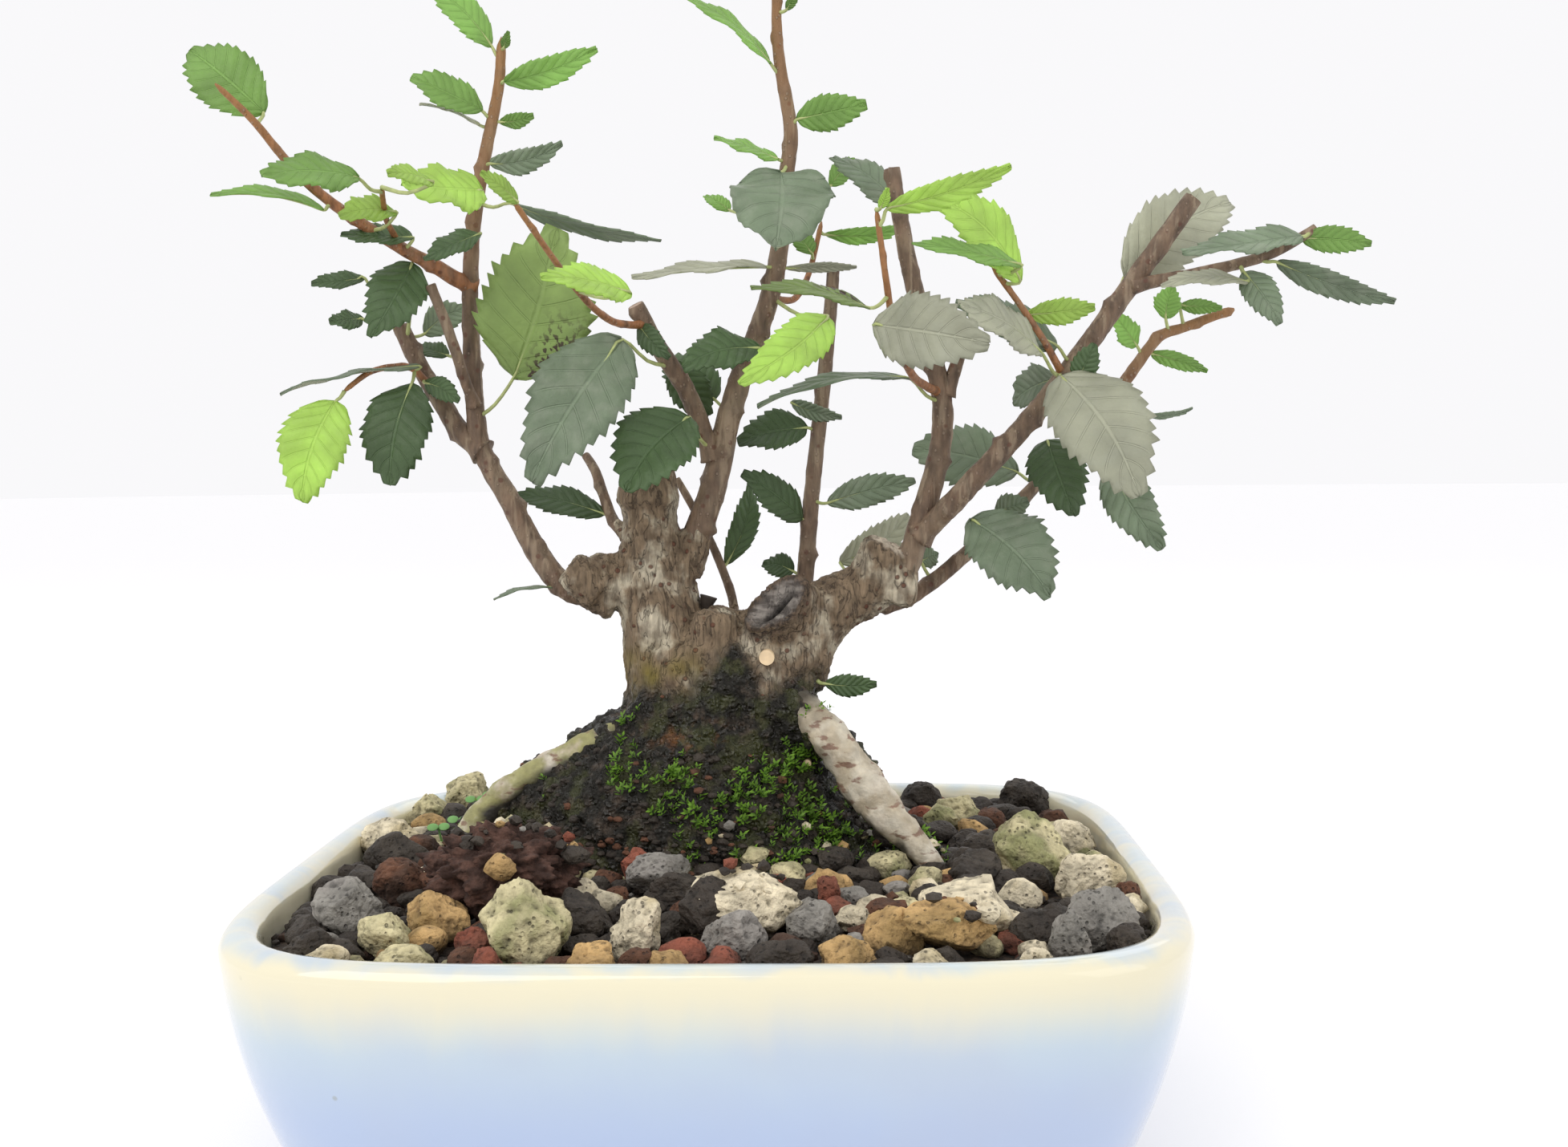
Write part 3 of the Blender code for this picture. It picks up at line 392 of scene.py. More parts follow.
def glaze_finish(pot):
    """Pale celadon over blue: warm and thin on the lip, thick and blue towards the foot."""
    glaze = Finish("pot_glaze", 0.08, coat_weight=0.6, coat_roughness=0.03)
    height = glaze.math("DIVIDE", glaze.math("SUBTRACT", RIM, glaze.axis("Z")), RIM)
    streak = glaze.noise(0.10, 3, (1, 1, 0.25), 0.6)
    cloud = glaze.noise(0.035, 2)
    wander = glaze.math("MULTIPLY_ADD", streak, 0.12, -0.06)
    depth = glaze.math("ADD", height, wander)
    body = glaze.mix(glaze.fade(depth, 0.10, 0.62), pot.upper_glaze, pot.lower_glaze)
    body = glaze.mix(glaze.math("MULTIPLY", glaze.fade(cloud, 0.45, 0.62), 0.35), body, (0.46, 0.52, 0.66))
    lip = glaze.math("SUBTRACT", 1.0, glaze.fade(depth, 0.06, 0.32))
    lip = glaze.math("MULTIPLY", lip, glaze.fade(depth, -0.02, 0.04))
    body = glaze.mix(glaze.math("MULTIPLY", lip, 0.95), body, pot.lip_glaze)
    speck = glaze.math("SUBTRACT", 1.0, glaze.fade(glaze.cells(0.16), 0.03, 0.075))
    speck = glaze.math("MULTIPLY", speck, glaze.fade(glaze.noise(0.05, 1), 0.5, 0.56))
    glaze.colour(glaze.mix(glaze.math("MULTIPLY", speck, 0.45), body, pot.fleck))
    glaze.bump(glaze.noise(0.12, 2), 0.0006, 0.25)
    return glaze.material


def bark_finish(wood):
    """Old bark with worn pale patches and warts, damp and black towards the roots."""
    bark = Finish("trunk_bark", 0.85)
    fibre = bark.noise(1.5, 8, (1, 1, 0.22), 0.4)
    patch = bark.math("MULTIPLY_ADD", bark.attribute("worn"), 0.16, bark.noise(0.17, 5))
    base = bark.mix(bark.fade(patch, 0.52, 0.68), wood.old_bark, wood.pale_bark)
    base = bark.tint(base, fibre, 0.50, 1.45)
    shade = bark.fade(bark.noise(0.33, 5), 0.50, 0.68)
    base = bark.mix(bark.math("MULTIPLY", shade, 0.55), base, (0.085, 0.055, 0.034))
    line = bark.math("ABSOLUTE", bark.math("SUBTRACT", bark.noise(0.55, 5, (1, 1, 0.28), 0.8), 0.5))
    furrow = bark.fade(line, 0.003, 0.018)
    base = bark.mix(bark.math("MULTIPLY_ADD", furrow, -0.45, 0.45), base, (0.045, 0.028, 0.018))
    wart = bark.math("SUBTRACT", 1.0, bark.fade(bark.cells(0.50), 0.13, 0.24))
    wart = bark.math("MULTIPLY", wart, bark.fade(bark.noise(0.14, 1), 0.44, 0.52))
    base = bark.mix(bark.math("MULTIPLY", wart, 0.85), base, (0.13, 0.045, 0.025))
    algae = bark.attribute("algae")
    base = bark.mix(algae, base, (0.20, 0.155, 0.035))
    wet = bark.attribute("wet")
    crust = bark.mix(bark.fade(bark.noise(0.35, 5), 0.50, 0.72), wood.wet_base, (0.085, 0.062, 0.045))
    rusty = bark.attribute("rusty")
    crust = bark.mix(bark.math("MULTIPLY", rusty, bark.fade(bark.noise(0.5, 4), 0.48, 0.66)), crust, (0.20, 0.085, 0.03))
    mossy = bark.math("MULTIPLY", bark.fade(bark.noise(0.22, 5), 0.47, 0.60), bark.attribute("wet"))
    crust = bark.mix(bark.math("MULTIPLY", mossy, 0.6), crust, (0.060, 0.066, 0.018))
    base = bark.mix(wet, base, crust)
    heart = bark.mix(bark.fade(bark.noise(0.8, 3, (0.4, 1, 1.6)), 0.35, 0.65), (0.10, 0.085, 0.075), (0.30, 0.27, 0.24))
    base = bark.mix(bark.attribute("scar"), base, heart)
    callus = bark.mix(bark.fade(bark.noise(1.2, 6), 0.42, 0.58), (0.030, 0.019, 0.013), (0.13, 0.085, 0.055))
    base = bark.mix(bark.math("MULTIPLY", bark.attribute("rim"), 0.85), base, callus)
    base = bark.mix(bark.attribute("sawn"), base, (0.62, 0.53, 0.42))
    # Painted shade: the slot in the scar is painted near black.
    bark.colour(bark.mix(bark.attribute("slot"), base, (0.012, 0.009, 0.007)))
    gleam = bark.math("MULTIPLY", wet, bark.fade(bark.noise(0.9, 3), 0.42, 0.58))
    bark.roughness(bark.math("MULTIPLY_ADD", gleam, -0.68, 0.88))
    relief = bark.math("ADD", bark.math("MULTIPLY", furrow, 0.5), bark.math("MULTIPLY", fibre, 1.2))
    grain = bark.math("MULTIPLY", wet, bark.cells(1.6))
    relief = bark.math("MULTIPLY_ADD", grain, 0.9, relief)
    bark.bump(bark.math("ADD", relief, bark.math("MULTIPLY", wart, 0.5)), 0.0006, 1.0)
    return bark.material


def root_finish(wood):
    """Skin of a bare root: cream with pinkish brown scars and a dark, damp underside."""
    root = Finish("bare_root", 0.6)
    base = root.mix(root.fade(root.noise(0.25, 4), 0.40, 0.65), wood.bare_root, (0.70, 0.64, 0.53))
    base = root.mix(root.math("MULTIPLY", root.attribute("algae"), root.fade(root.noise(0.3, 3), 0.3, 0.55)),
                    base, (0.30, 0.29, 0.10))
    scar = root.fade(root.noise(0.36, 5, (1, 1, 2.0)), 0.57, 0.65)
    base = root.mix(root.math("MULTIPLY", scar, 0.8), base, (0.20, 0.095, 0.060))
    base = root.tint(base, root.noise(0.7, 6), 0.75, 1.2)
    root.colour(root.mix(root.attribute("wet"), base, (0.03, 0.026, 0.02)))
    root.bump(root.noise(0.9, 5), 0.0005, 0.7)
    return root.material


def stem_finish(name, bark, young):
    """Smooth young bark with pale breathing spots, paler where it was cut."""
    stem = Finish(name, 0.5 if young else 0.62)
    base = stem.tint(bark, stem.noise(0.9, 6, (1, 1, 0.3)), 0.45, 1.5)
    dust = stem.math("MULTIPLY", stem.fade(stem.noise(0.16, 5), 0.46, 0.66), 0.12 if young else 0.30)
    base = stem.mix(dust, base, (0.34, 0.26, 0.17))
    streak = stem.fade(stem.noise(0.7, 4, (1, 1, 0.10), 0.3), 0.52, 0.64)
    base = stem.mix(stem.math("MULTIPLY", streak, 0.1 if young else 0.45), base, (0.40, 0.31, 0.21))
    wart = stem.math("SUBTRACT", 1.0, stem.fade(stem.cells(0.42), 0.12, 0.22))
    base = stem.mix(stem.math("MULTIPLY", wart, 0.75), base, (0.11, 0.040, 0.022))
    base = stem.mix(stem.math("MULTIPLY", stem.attribute("warm"), 0.8), base, (0.33, 0.155, 0.045))
    spot = stem.math("SUBTRACT", 1.0, stem.fade(stem.cells(0.95, (1, 1, 0.8)), 0.14, 0.24))
    base = stem.mix(stem.math("MULTIPLY", spot, 0.4), base, (0.40, 0.30, 0.22))
    base = stem.mix(stem.attribute("joint"), base, (0.075, 0.042, 0.03))
    stem.colour(stem.mix(stem.attribute("sawn"), base, (0.46, 0.33, 0.25)))
    stem.bump(stem.math("ADD", stem.noise(1.4, 6, (1, 1, 0.3)), stem.math("MULTIPLY", spot, 0.3)), 0.0005, 0.9)
    return stem.material


def leaf_finish(kind, tint, under):
    """A blade with a pale midrib and side veins drawn along its own length and width."""
    leaf = Finish("leaf_" + kind + ("_under" if under else ""), 0.62 if under else 0.46)
    split = leaf.add("ShaderNodeSeparateXYZ")
    leaf.tree.links.new(leaf.attribute("leaf_place", "Vector"), split.inputs["Vector"])
    along, side, random_tone = split.outputs
    out = leaf.math("ABSOLUTE", side)
    bend = leaf.math("MULTIPLY_ADD", out, -0.20, along)
    wave = leaf.math("COSINE", leaf.math("MULTIPLY", bend, 2 * math.pi * VEIN_PAIRS))
    vein = leaf.fade(wave, 0.90, 0.995)
    vein = leaf.math("MULTIPLY", vein, leaf.math("SUBTRACT", 1.0, leaf.fade(out, 0.55, 1.0)))
    midrib = leaf.math("SUBTRACT", 1.0, leaf.fade(out, 0.02, 0.075))
    lines = leaf.math("MAXIMUM", vein, midrib)
    base = leaf.tint(tint, leaf.noise(0.16, 4), 0.80, 1.22)
    base = leaf.tint(base, random_tone, 0.90, 1.20)
    light = [min(1.0, part * 1.45 + 0.02) for part in tint]
    base = leaf.mix(leaf.math("MULTIPLY", lines, 0.35), base, light)
    if kind == "olive":
        spots = leaf.fade(leaf.noise(1.1, 5), 0.50, 0.56)
        low_end = leaf.math("SUBTRACT", 1.0, leaf.fade(along, 0.30, 0.62))
        where = leaf.math("MULTIPLY", leaf.fade(leaf.math("MULTIPLY", side, -1.0), 0.0, 0.5), low_end)
        base = leaf.mix(leaf.math("MULTIPLY", spots, where), base, (0.05, 0.028, 0.012))
    if kind in ("blue", "beige"):
        bloom = leaf.math("MULTIPLY", leaf.fade(leaf.noise(0.3, 5), 0.45, 0.7), 0.22)
        base = leaf.mix(bloom, base, (0.40, 0.42, 0.34))
    leaf.colour(base)
    quilt = leaf.math("MULTIPLY_ADD", wave, -0.17, leaf.math("MULTIPLY", leaf.noise(0.9, 5), 0.7))
    leaf.bump(leaf.math("SUBTRACT", quilt, leaf.math("MULTIPLY", lines, 0.5)), 0.00035, 0.9)
    leaf.lit_through(0.42 if kind in ("lime", "fresh") else 0.20, base)
    return leaf.material


def stalk_finish():
    stalk = Finish("leaf_stalk", 0.45)
    stalk.colour(stalk.tint((0.40, 0.45, 0.18), stalk.noise(0.8, 3), 0.75, 1.25))
    return stalk.material


def stone_finish(kind, tint, stain):
    """Crushed, porous stone with painted shade in its pores and hollows, darker at its foot near the soil."""
    stone = Finish("stone_" + kind, 0.65 if kind == "lava" else 0.88)
    base = stone.tint(tint, stone.noise(0.22, 5), 0.62, 1.40)
    base = stone.mix(stone.math("MULTIPLY", stone.fade(stone.noise(0.13, 3), 0.48, 0.64), 0.7), base, stain)
    # Painted shade in the pores: they are darkened to a dark copy of the stone's own colour.
    pore = stone.math("SUBTRACT", 1.0, stone.fade(stone.cells(1.1), 0.10, 0.30))
    pore = stone.math("MULTIPLY", pore, stone.fade(stone.noise(0.4, 2), 0.42, 0.58))
    base = stone.mix(stone.math("MULTIPLY", pore, 0.55), base, [part * 0.25 for part in tint])
    # Painted shade in the hollows: the pits of the stone are darkened to a dark copy of its own colour.
    hollow = stone.math("MULTIPLY", stone.attribute("hollow"), stone.fade(stone.noise(0.8, 4), 0.30, 0.60))
    base = stone.mix(stone.math("MULTIPLY", hollow, 0.75), base, [part * 0.18 for part in tint])
    # Darker towards the soil line: the foot of each stone is darkened to a near-black brown, broken by noise.
    low = stone.math("SUBTRACT", 1.0, stone.fade(stone.axis("Z"), SOIL_TOP - 1.5 * MM, SOIL_TOP + 3.0 * MM))
    low_dark = stone.math("MULTIPLY", low, stone.fade(stone.noise(0.6, 4), 0.30, 0.55))
    stone.colour(stone.mix(stone.math("MULTIPLY", low_dark, 0.8), base, (0.030, 0.022, 0.017)))
    relief = stone.math("MULTIPLY_ADD", pore, -0.7, stone.noise(1.3, 8))
    stone.bump(relief, 0.0009, 1.0)
    return stone.material


def soil_finish():
    soil = Finish("soil", 0.8)
    soil.colour(soil.mix(soil.fade(soil.noise(0.5, 5), 0.4, 0.65), (0.018, 0.014, 0.011), (0.09, 0.06, 0.04)))
    soil.bump(soil.noise(0.8, 6), 0.001, 1.0)
    return soil.material


def moss_finish(moss):
    green = Finish("moss", 0.6)
    share = green.attribute("tip")
    base = green.mix(share, moss.foot, moss.tip)
    green.colour(green.tint(base, green.noise(0.3, 3), 0.65, 1.35))
    green.lit_through(0.25, base)
    return green.material


def plain_finish(name, tint, roughness, metallic=0.0):
    plain = Finish(name, roughness, metallic=metallic)
    plain.colour(plain.tint(tint, plain.noise(0.6, 3), 0.85, 1.15))
    plain.bump(plain.noise(1.5, 3), 0.0001, 0.4)
    return plain.material


# ================================================================ shared modelling helpers
VEIN_PAIRS = 8
LEAF_ROWS = 10


def plant_point(place):
    return PLANT + Vector(place[:3]) * MM


def new_piece(name, bm, materials, replaced=(), sharp=None):
    """Turns a finished bmesh into a piece that rides on the object."""
    mesh = bpy.data.meshes.new(name)
    bm.to_mesh(mesh)
    bm.free()
    mesh.shade_smooth()
    if sharp is not None:
        mesh.set_sharp_from_angle(angle=math.radians(sharp))
    for material in materials:
        mesh.materials.append(material)
    piece = bpy.data.objects.new(name, mesh)
    bpy.context.scene.collection.objects.link(piece)
    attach(piece, "root")
    if replaced:
        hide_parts(*replaced)
    return piece


def merged_copy(node):
    """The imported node's mesh with its loose triangles sewn together."""
    bm = bmesh.new()
    bm.from_mesh(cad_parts[node].data)
    bmesh.ops.remove_doubles(bm, verts=bm.verts, dist=1e-5)
    bm.normal_update()
    return bm


def surface_of(*nodes):
    """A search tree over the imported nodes' surfaces."""
    whole = bmesh.new()
    for node in nodes:
        whole.from_mesh(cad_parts[node].data)
    tree = BVHTree.FromBMesh(whole)
    whole.free()
    return tree


def middle_of(verts):
    return sum((vert.co for vert in verts), Vector()) / len(verts)


def smooth_line(points, steps):
    """A Catmull-Rom curve through rows of numbers, read at even steps between them."""
    rows = [Vector(point) for point in points]
    ends = [rows[0] * 2 - rows[1]] + rows + [rows[-1] * 2 - rows[-2]]
    line = []
    for i in range(len(rows) - 1):
        before, start, end, after = ends[i : i + 4]
        for step in range(steps):
            t = step / steps
            pull = (end - before) * t
            bend = (before * 2 - start * 5 + end * 4 - after) * t**2
            twist = (start * 3 - before - end * 3 + after) * t**3
            line.append(start + (pull + bend + twist) / 2)
    return line + [rows[-1]]


def even_line(rows, spacing):
    """Rows of (x, y, z, radius) read at an even spacing along their length."""
    line = smooth_line(rows, 12)
    out = [line[0]]
    walked = 0.0
    for before, after in zip(line, line[1:]):
        walked += (after.xyz - before.xyz).length
        if walked >= spacing:
            out.append(after)
            walked = 0.0
    out.append(line[-1])
    return out


def place_ring(verts, centre, first, second, reach):
    """Moves a ring of verts round centre; reach gives the radius at each angle."""
    for i, vert in enumerate(verts):
        angle = 2 * math.pi * i / len(verts)
        way = first * math.cos(angle) + second * math.sin(angle)
        vert.co = centre + way * reach(way, angle)


def grow_tube(bm, line, sides, relief, paint=None, round_end=False):
    """A closed tube along rows of (x, y, z, radius), one extruded ring for each row."""
    made = bmesh.ops.create_circle(bm, cap_ends=False, segments=sides, radius=1.0)
    ring = made["verts"]
    heading = (line[1].xyz - line[0].xyz).normalized()
    first = heading.orthogonal().normalized()
    rings = []
    for i, row in enumerate(line):
        ahead = line[min(i + 1, len(line) - 1)].xyz - line[max(i - 1, 0)].xyz
        turn = heading.rotation_difference(ahead.normalized())
        first.rotate(turn)
        heading = ahead.normalized()
        second = heading.cross(first)
        if i:
            edges = {edge for vert in ring for edge in vert.link_edges if edge.other_vert(vert) in ring}
            grown = bmesh.ops.extrude_edge_only(bm, edges=list(edges))["geom"]
            fresh = {item for item in grown if isinstance(item, bmesh.types.BMVert)}
            ring = [next(edge.other_vert(vert) for edge in vert.link_edges if edge.other_vert(vert) in fresh)
                    for vert in ring]
        place_ring(ring, row.xyz, first, second, lambda way, angle: row.w * relief(i, row, way, angle))
        rings.append(ring)
        if paint:
            for vert in ring:
                paint(vert, i, row)
    for end in (rings[0], rings[-1]):
        face = bm.faces.new(end)
        poked = bmesh.ops.poke(bm, faces=[face])["verts"]
        if paint:
            for vert in poked:
                paint(vert, 0 if end is rings[0] else len(line) - 1, line[0] if end is rings[0] else line[-1])
        if round_end and end is rings[-1]:
            for vert in poked:
                vert.co += heading * line[-1].w * 0.8
    return rings


# ================================================================ pot
SQUARENESS = 4.9
POT_STEPS = 192
FOOT_HEIGHT = 0.006
FOOT_WIDTH = 0.009
FOOT_STEP = 0.0008
FOOT_LENGTH = 0.018
ARCH_HEIGHT = 0.0053
TAPER = 0.0072
TAPER_POWER = 1.8
FLOOR = 0.005
FLOOR_FILLET = 0.006
DRAIN_RADIUS = 0.005


def pot_half_width(z):
    share = min(max((RIM - z) / (RIM - FOOT_HEIGHT), 0.0), 1.0)
    return POT_WIDTH / 2 - TAPER * share**TAPER_POWER


def bowl_profile(pot):
    """(radius, z) points from the middle of the floor up the inside, over the lip and down the outside."""
    floor_z = FOOT_HEIGHT + FLOOR
    fillet_z = floor_z + FLOOR_FILLET
    inner = pot_half_width(fillet_z) - pot.wall - FLOOR_FILLET
    points = [(0.0, floor_z), (inner * 0.6, floor_z)]
    for step in range(7):
        angle = math.radians(15 * step)
        points.append((inner + FLOOR_FILLET * math.sin(angle), fillet_z - FLOOR_FILLET * math.cos(angle)))
    lip_z = RIM - pot.lip_radius
    for share in (0.25, 0.5, 0.75, 0.95):
        z = fillet_z + (lip_z - fillet_z) * share
        points.append((pot_half_width(z) - pot.wall, z))
    middle = POT_WIDTH / 2 - pot.lip_radius
    for step in range(13):
        angle = math.radians(180 - 15 * step)
        points.append((middle + pot.lip_radius * math.cos(angle), lip_z + pot.lip_radius * math.sin(angle)))
    for step in range(1, 15):
        z = lip_z + (FOOT_HEIGHT - lip_z) * step / 14
        points.append((pot_half_width(z), z))
    return points + [(0.0, FOOT_HEIGHT)]


def turn_profile(bm, points):
    """Spins a profile about the pot's axis and squares its round section."""
    spots = [bm.verts.new((radius, 0.0, z)) for radius, z in points]
    edges = [bm.edges.new(pair) for pair in zip(spots, spots[1:])]
    bmesh.ops.spin(
        bm, geom=spots + edges, cent=(0, 0, 0), axis=(0, 0, 1), angle=2 * math.pi, steps=POT_STEPS, use_merge=True
    )
    bmesh.ops.remove_doubles(bm, verts=bm.verts, dist=1e-6)
    for vert in bm.verts:
        angle = math.atan2(vert.co.y, vert.co.x)
        reach = abs(math.cos(angle)) ** SQUARENESS + abs(math.sin(angle)) ** SQUARENESS
        stretch = reach ** (-1 / SQUARENESS)
        vert.co.x *= stretch
        vert.co.y *= stretch
    bmesh.ops.recalc_face_normals(bm, faces=bm.faces)


def cut_drains(piece):
    """Opens the drain holes in the floor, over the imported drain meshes."""
    for side in ("left", "right"):
        low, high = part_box("drain_mesh_" + side)
        bm = bmesh.new()
        place = Matrix.Translation(((low.x + high.x) / 2, (low.y + high.y) / 2, FOOT_HEIGHT))
        bmesh.ops.create_cone(
            bm, cap_ends=True, segments=48, radius1=DRAIN_RADIUS, radius2=DRAIN_RADIUS, depth=4 * FLOOR, matrix=place
        )
        mesh = bpy.data.meshes.new("drain_" + side)
        bm.to_mesh(mesh)
        bm.free()
        drill = bpy.data.objects.new("drain_" + side, mesh)
        bpy.context.scene.collection.objects.link(drill)
        cut = piece.modifiers.new("drain", "BOOLEAN")
        cut.object = drill
        cut.solver = "EXACT"
        bpy.context.view_layer.update()
        whole = bpy.data.meshes.new_from_object(piece.evaluated_get(bpy.context.evaluated_depsgraph_get()))
        piece.modifiers.clear()
        piece.data = whole
        bpy.data.objects.remove(drill, do_unlink=True)


def corner_foot(bm, side_x, side_y):
    """One corner of the foot ring, cut off square from the rest of it."""
    outer = pot_half_width(FOOT_HEIGHT) - FOOT_STEP
    arch = pot_half_width(FOOT_HEIGHT) - FOOT_LENGTH
    ring = bmesh.new()
    top = FOOT_HEIGHT + 0.0004
    turn_profile(ring, [
        (outer - FOOT_WIDTH, top), (outer - FOOT_WIDTH, 0.0006), (outer - FOOT_WIDTH + 0.0006, 0.0),
        (outer - 0.0006, 0.0), (outer, 0.0006), (outer, top), (outer - FOOT_WIDTH, top),
    ])
    for normal, at in (((side_x, 0, 0), (side_x * arch, 0, 0)), ((0, side_y, 0), (0, side_y * arch, 0))):
        geometry = list(ring.verts) + list(ring.edges) + list(ring.faces)
        bmesh.ops.bisect_plane(ring, geom=geometry, plane_co=at, plane_no=normal, clear_inner=True)
        bmesh.ops.holes_fill(ring, edges=[edge for edge in ring.edges if edge.is_boundary])
    bmesh.ops.recalc_face_normals(ring, faces=ring.faces)
    mesh = bpy.data.meshes.new("foot")
    ring.to_mesh(mesh)
    ring.free()
    bm.from_mesh(mesh)
    bpy.data.meshes.remove(mesh)


class BONSAI_OT_pot(bpy.types.Operator):
    """Model the glazed pot on its four corner feet"""

    bl_idname = "bonsai.pot"
    bl_label = "Pot"

    def execute(self, context):
        pot = context.scene.bonsai_pot
        glaze = glaze_finish(pot)
        bm = bmesh.new()
        turn_profile(bm, bowl_profile(pot))
        bmesh.ops.translate(bm, vec=POT_MIDDLE, verts=bm.verts)
        bowl = new_piece("pot_bowl", bm, [glaze], ["pot"])
        cut_drains(bowl)
        bowl.data.shade_smooth()
        bowl.data.set_sharp_from_angle(angle=math.radians(40))
        bm = bmesh.new()
        for side_x in (-1, 1):
            for side_y in (-1, 1):
                corner_foot(bm, side_x, side_y)
        bmesh.ops.translate(bm, vec=POT_MIDDLE, verts=bm.verts)
        new_piece("pot_feet", bm, [glaze], sharp=40)
        plastic = plain_finish("mesh_plastic", (0.012, 0.012, 0.013), 0.55)
        wire = plain_finish("clip_wire", (0.60, 0.56, 0.50), 0.35, 1.0)
        for side in ("left", "right"):
            dress(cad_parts["drain_mesh_" + side], plastic)
            dress(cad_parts["mesh_clip_" + side], wire)
        return {"FINISHED"}


def dress(node, material):
    """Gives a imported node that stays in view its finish."""
    node.data.materials.clear()
    node.data.materials.append(material)


# ================================================================ trunk
TRUNK_GRAIN = 0.00045
SCAR_PLACE = Vector((8.2, -8.2, 40.2))
SCAR_FACING = Vector((-0.30, -0.80, 0.52)).normalized()
SCAR_LONG = Vector((0.78, 0.05, 0.62))
SCAR_REACH = (5.6, 3.1)
# Knobs: where the end lies, the way it faces, its long way, and half length, half width and depth.
KNOBS = (
    (SCAR_PLACE, SCAR_FACING, SCAR_LONG, (5.4, 3.0, 6.0)),
    ((25.0, -2.5, 48.6), (0.35, -0.25, 0.9), (1, 0, -0.2), (3.2, 2.8, 7.0)),
    ((-24.0, -3.5, 45.6), (-0.75, -0.15, 0.6), (0, 1, 0), (2.8, 2.6, 6.0)),
    ((-11.8, 0, 61.2), (0, 0, 1), (1, 0, 0), (3.9, 3.9, 6.0)),
    ((-1.0, -7.0, 38.6), (0.1, -0.2, 1), (1, 0, 0), (3.0, 2.0, 5.0)),
    ((1.5, -2.5, 38.8), (0.2, 0, 1), (1, 0, 0), (4.0, 2.2, 5.0)),
)
SAWN_ENDS = (((25.6, -0.5, 48.3), (0.45, -0.25, 0.85), 3.0), ((-11.8, 0, 61.5), (0.05, 0, 1), 4.2))


def add_knob(bm, place, facing, long_way, size, flare=(1.25, 1.0)):
    """A stub of wood that stands out of the trunk: size gives its half length, half width and depth."""
    facing = Vector(facing).normalized()
    across = facing.cross(Vector(long_way)).normalized()
    turn = Matrix((across.cross(facing), across, facing)).transposed().to_4x4()
    scale = Matrix.Diagonal((size[0] * MM, size[1] * MM, size[2] * MM, 1))
    spot = Matrix.Translation(plant_point(place) - facing * size[2] * MM / 2)
    bmesh.ops.create_cone(
        bm, cap_ends=True, segments=28, radius1=flare[0], radius2=flare[1], depth=1.0, matrix=spot @ turn @ scale
    )


def trunk_skin():
    """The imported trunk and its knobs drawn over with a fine, even skin."""
    bm = merged_copy("trunk")
    for knob in KNOBS:
        add_knob(bm, *knob)
    for node, parent, _, _ in STEMS:
        if parent != "trunk":
            continue
        line = even_line(stem_line(node), 1.0 * MM)
        foot, ahead = line[2], line[6]
        facing = (ahead.xyz - foot.xyz).normalized()
        reach = foot.w / MM
        place = (ahead.xyz - PLANT) / MM
        add_knob(bm, place, facing, facing.orthogonal(), (reach, reach, 8.0), (1.6, 0.78))
    mesh = bpy.data.meshes.new("trunk_skin")
    bm.to_mesh(mesh)
    bm.free()
    guide = bpy.data.objects.new("trunk_skin", mesh)
    bpy.context.scene.collection.objects.link(guide)
    skin = guide.modifiers.new("skin", "REMESH")
    skin.mode = "VOXEL"
    skin.voxel_size = TRUNK_GRAIN
    soften = guide.modifiers.new("soften", "SMOOTH")
    soften.factor = 0.5
    soften.iterations = 24
    bpy.context.view_layer.update()
    fine = bpy.data.meshes.new_from_object(guide.evaluated_get(bpy.context.evaluated_depsgraph_get()))
    bpy.data.objects.remove(guide, do_unlink=True)
    bm = bmesh.new()
    bm.from_mesh(fine)
    bpy.data.meshes.remove(fine)
    bm.normal_update()
    return bm


def front_point(tree, x, z):
    """Where the trunk's front skin lies at x and z of the plant's frame."""
    start = plant_point((x, -80, z))
    hit = tree.ray_cast(start, Vector((0, 1, 0)))[0]
    return hit or tree.find_nearest(plant_point((x, -8, z)))[0]


def damp(spot):
    """How wet the trunk is at a spot of the plant's frame: 1 over the roots, 0 on clean bark."""
    edge = 29.0 + 2.0 * min(max((spot.x + 9) / 9, 0), 1) + 5 * math.exp(-(((spot.x - 1.0) / 3.5) ** 2))
    edge += 3.0 * noise.noise(spot * 0.22) + 1.5 * noise.noise(spot * 0.7)
    return min(max((edge - spot.z) / 4.5, 0.0), 1.0)


def bark_relief(spot, wet, depth):
    """How far the skin stands out at a spot, in millimetres: ridged bark above, lumpy crust below."""
    ridge = 1 - abs(noise.noise(Vector((spot.x * 1.0, spot.y * 1.0, spot.z * 0.30)))) * 2.2
    fine = noise.noise(spot * 1.1)
    swell = noise.noise(spot * 0.17)
    bark = depth * (ridge + 0.6 * fine + 1.8 * swell)
    near = noise.voronoi(spot * 0.42)[0]
    small = noise.voronoi(spot * 1.0)[0]
    crust = 1.7 * (0.5 - near[0]) + 0.7 * (0.5 - small[0]) + 0.9 * noise.noise(spot * 0.25)
    return bark * (1 - wet) + crust * wet


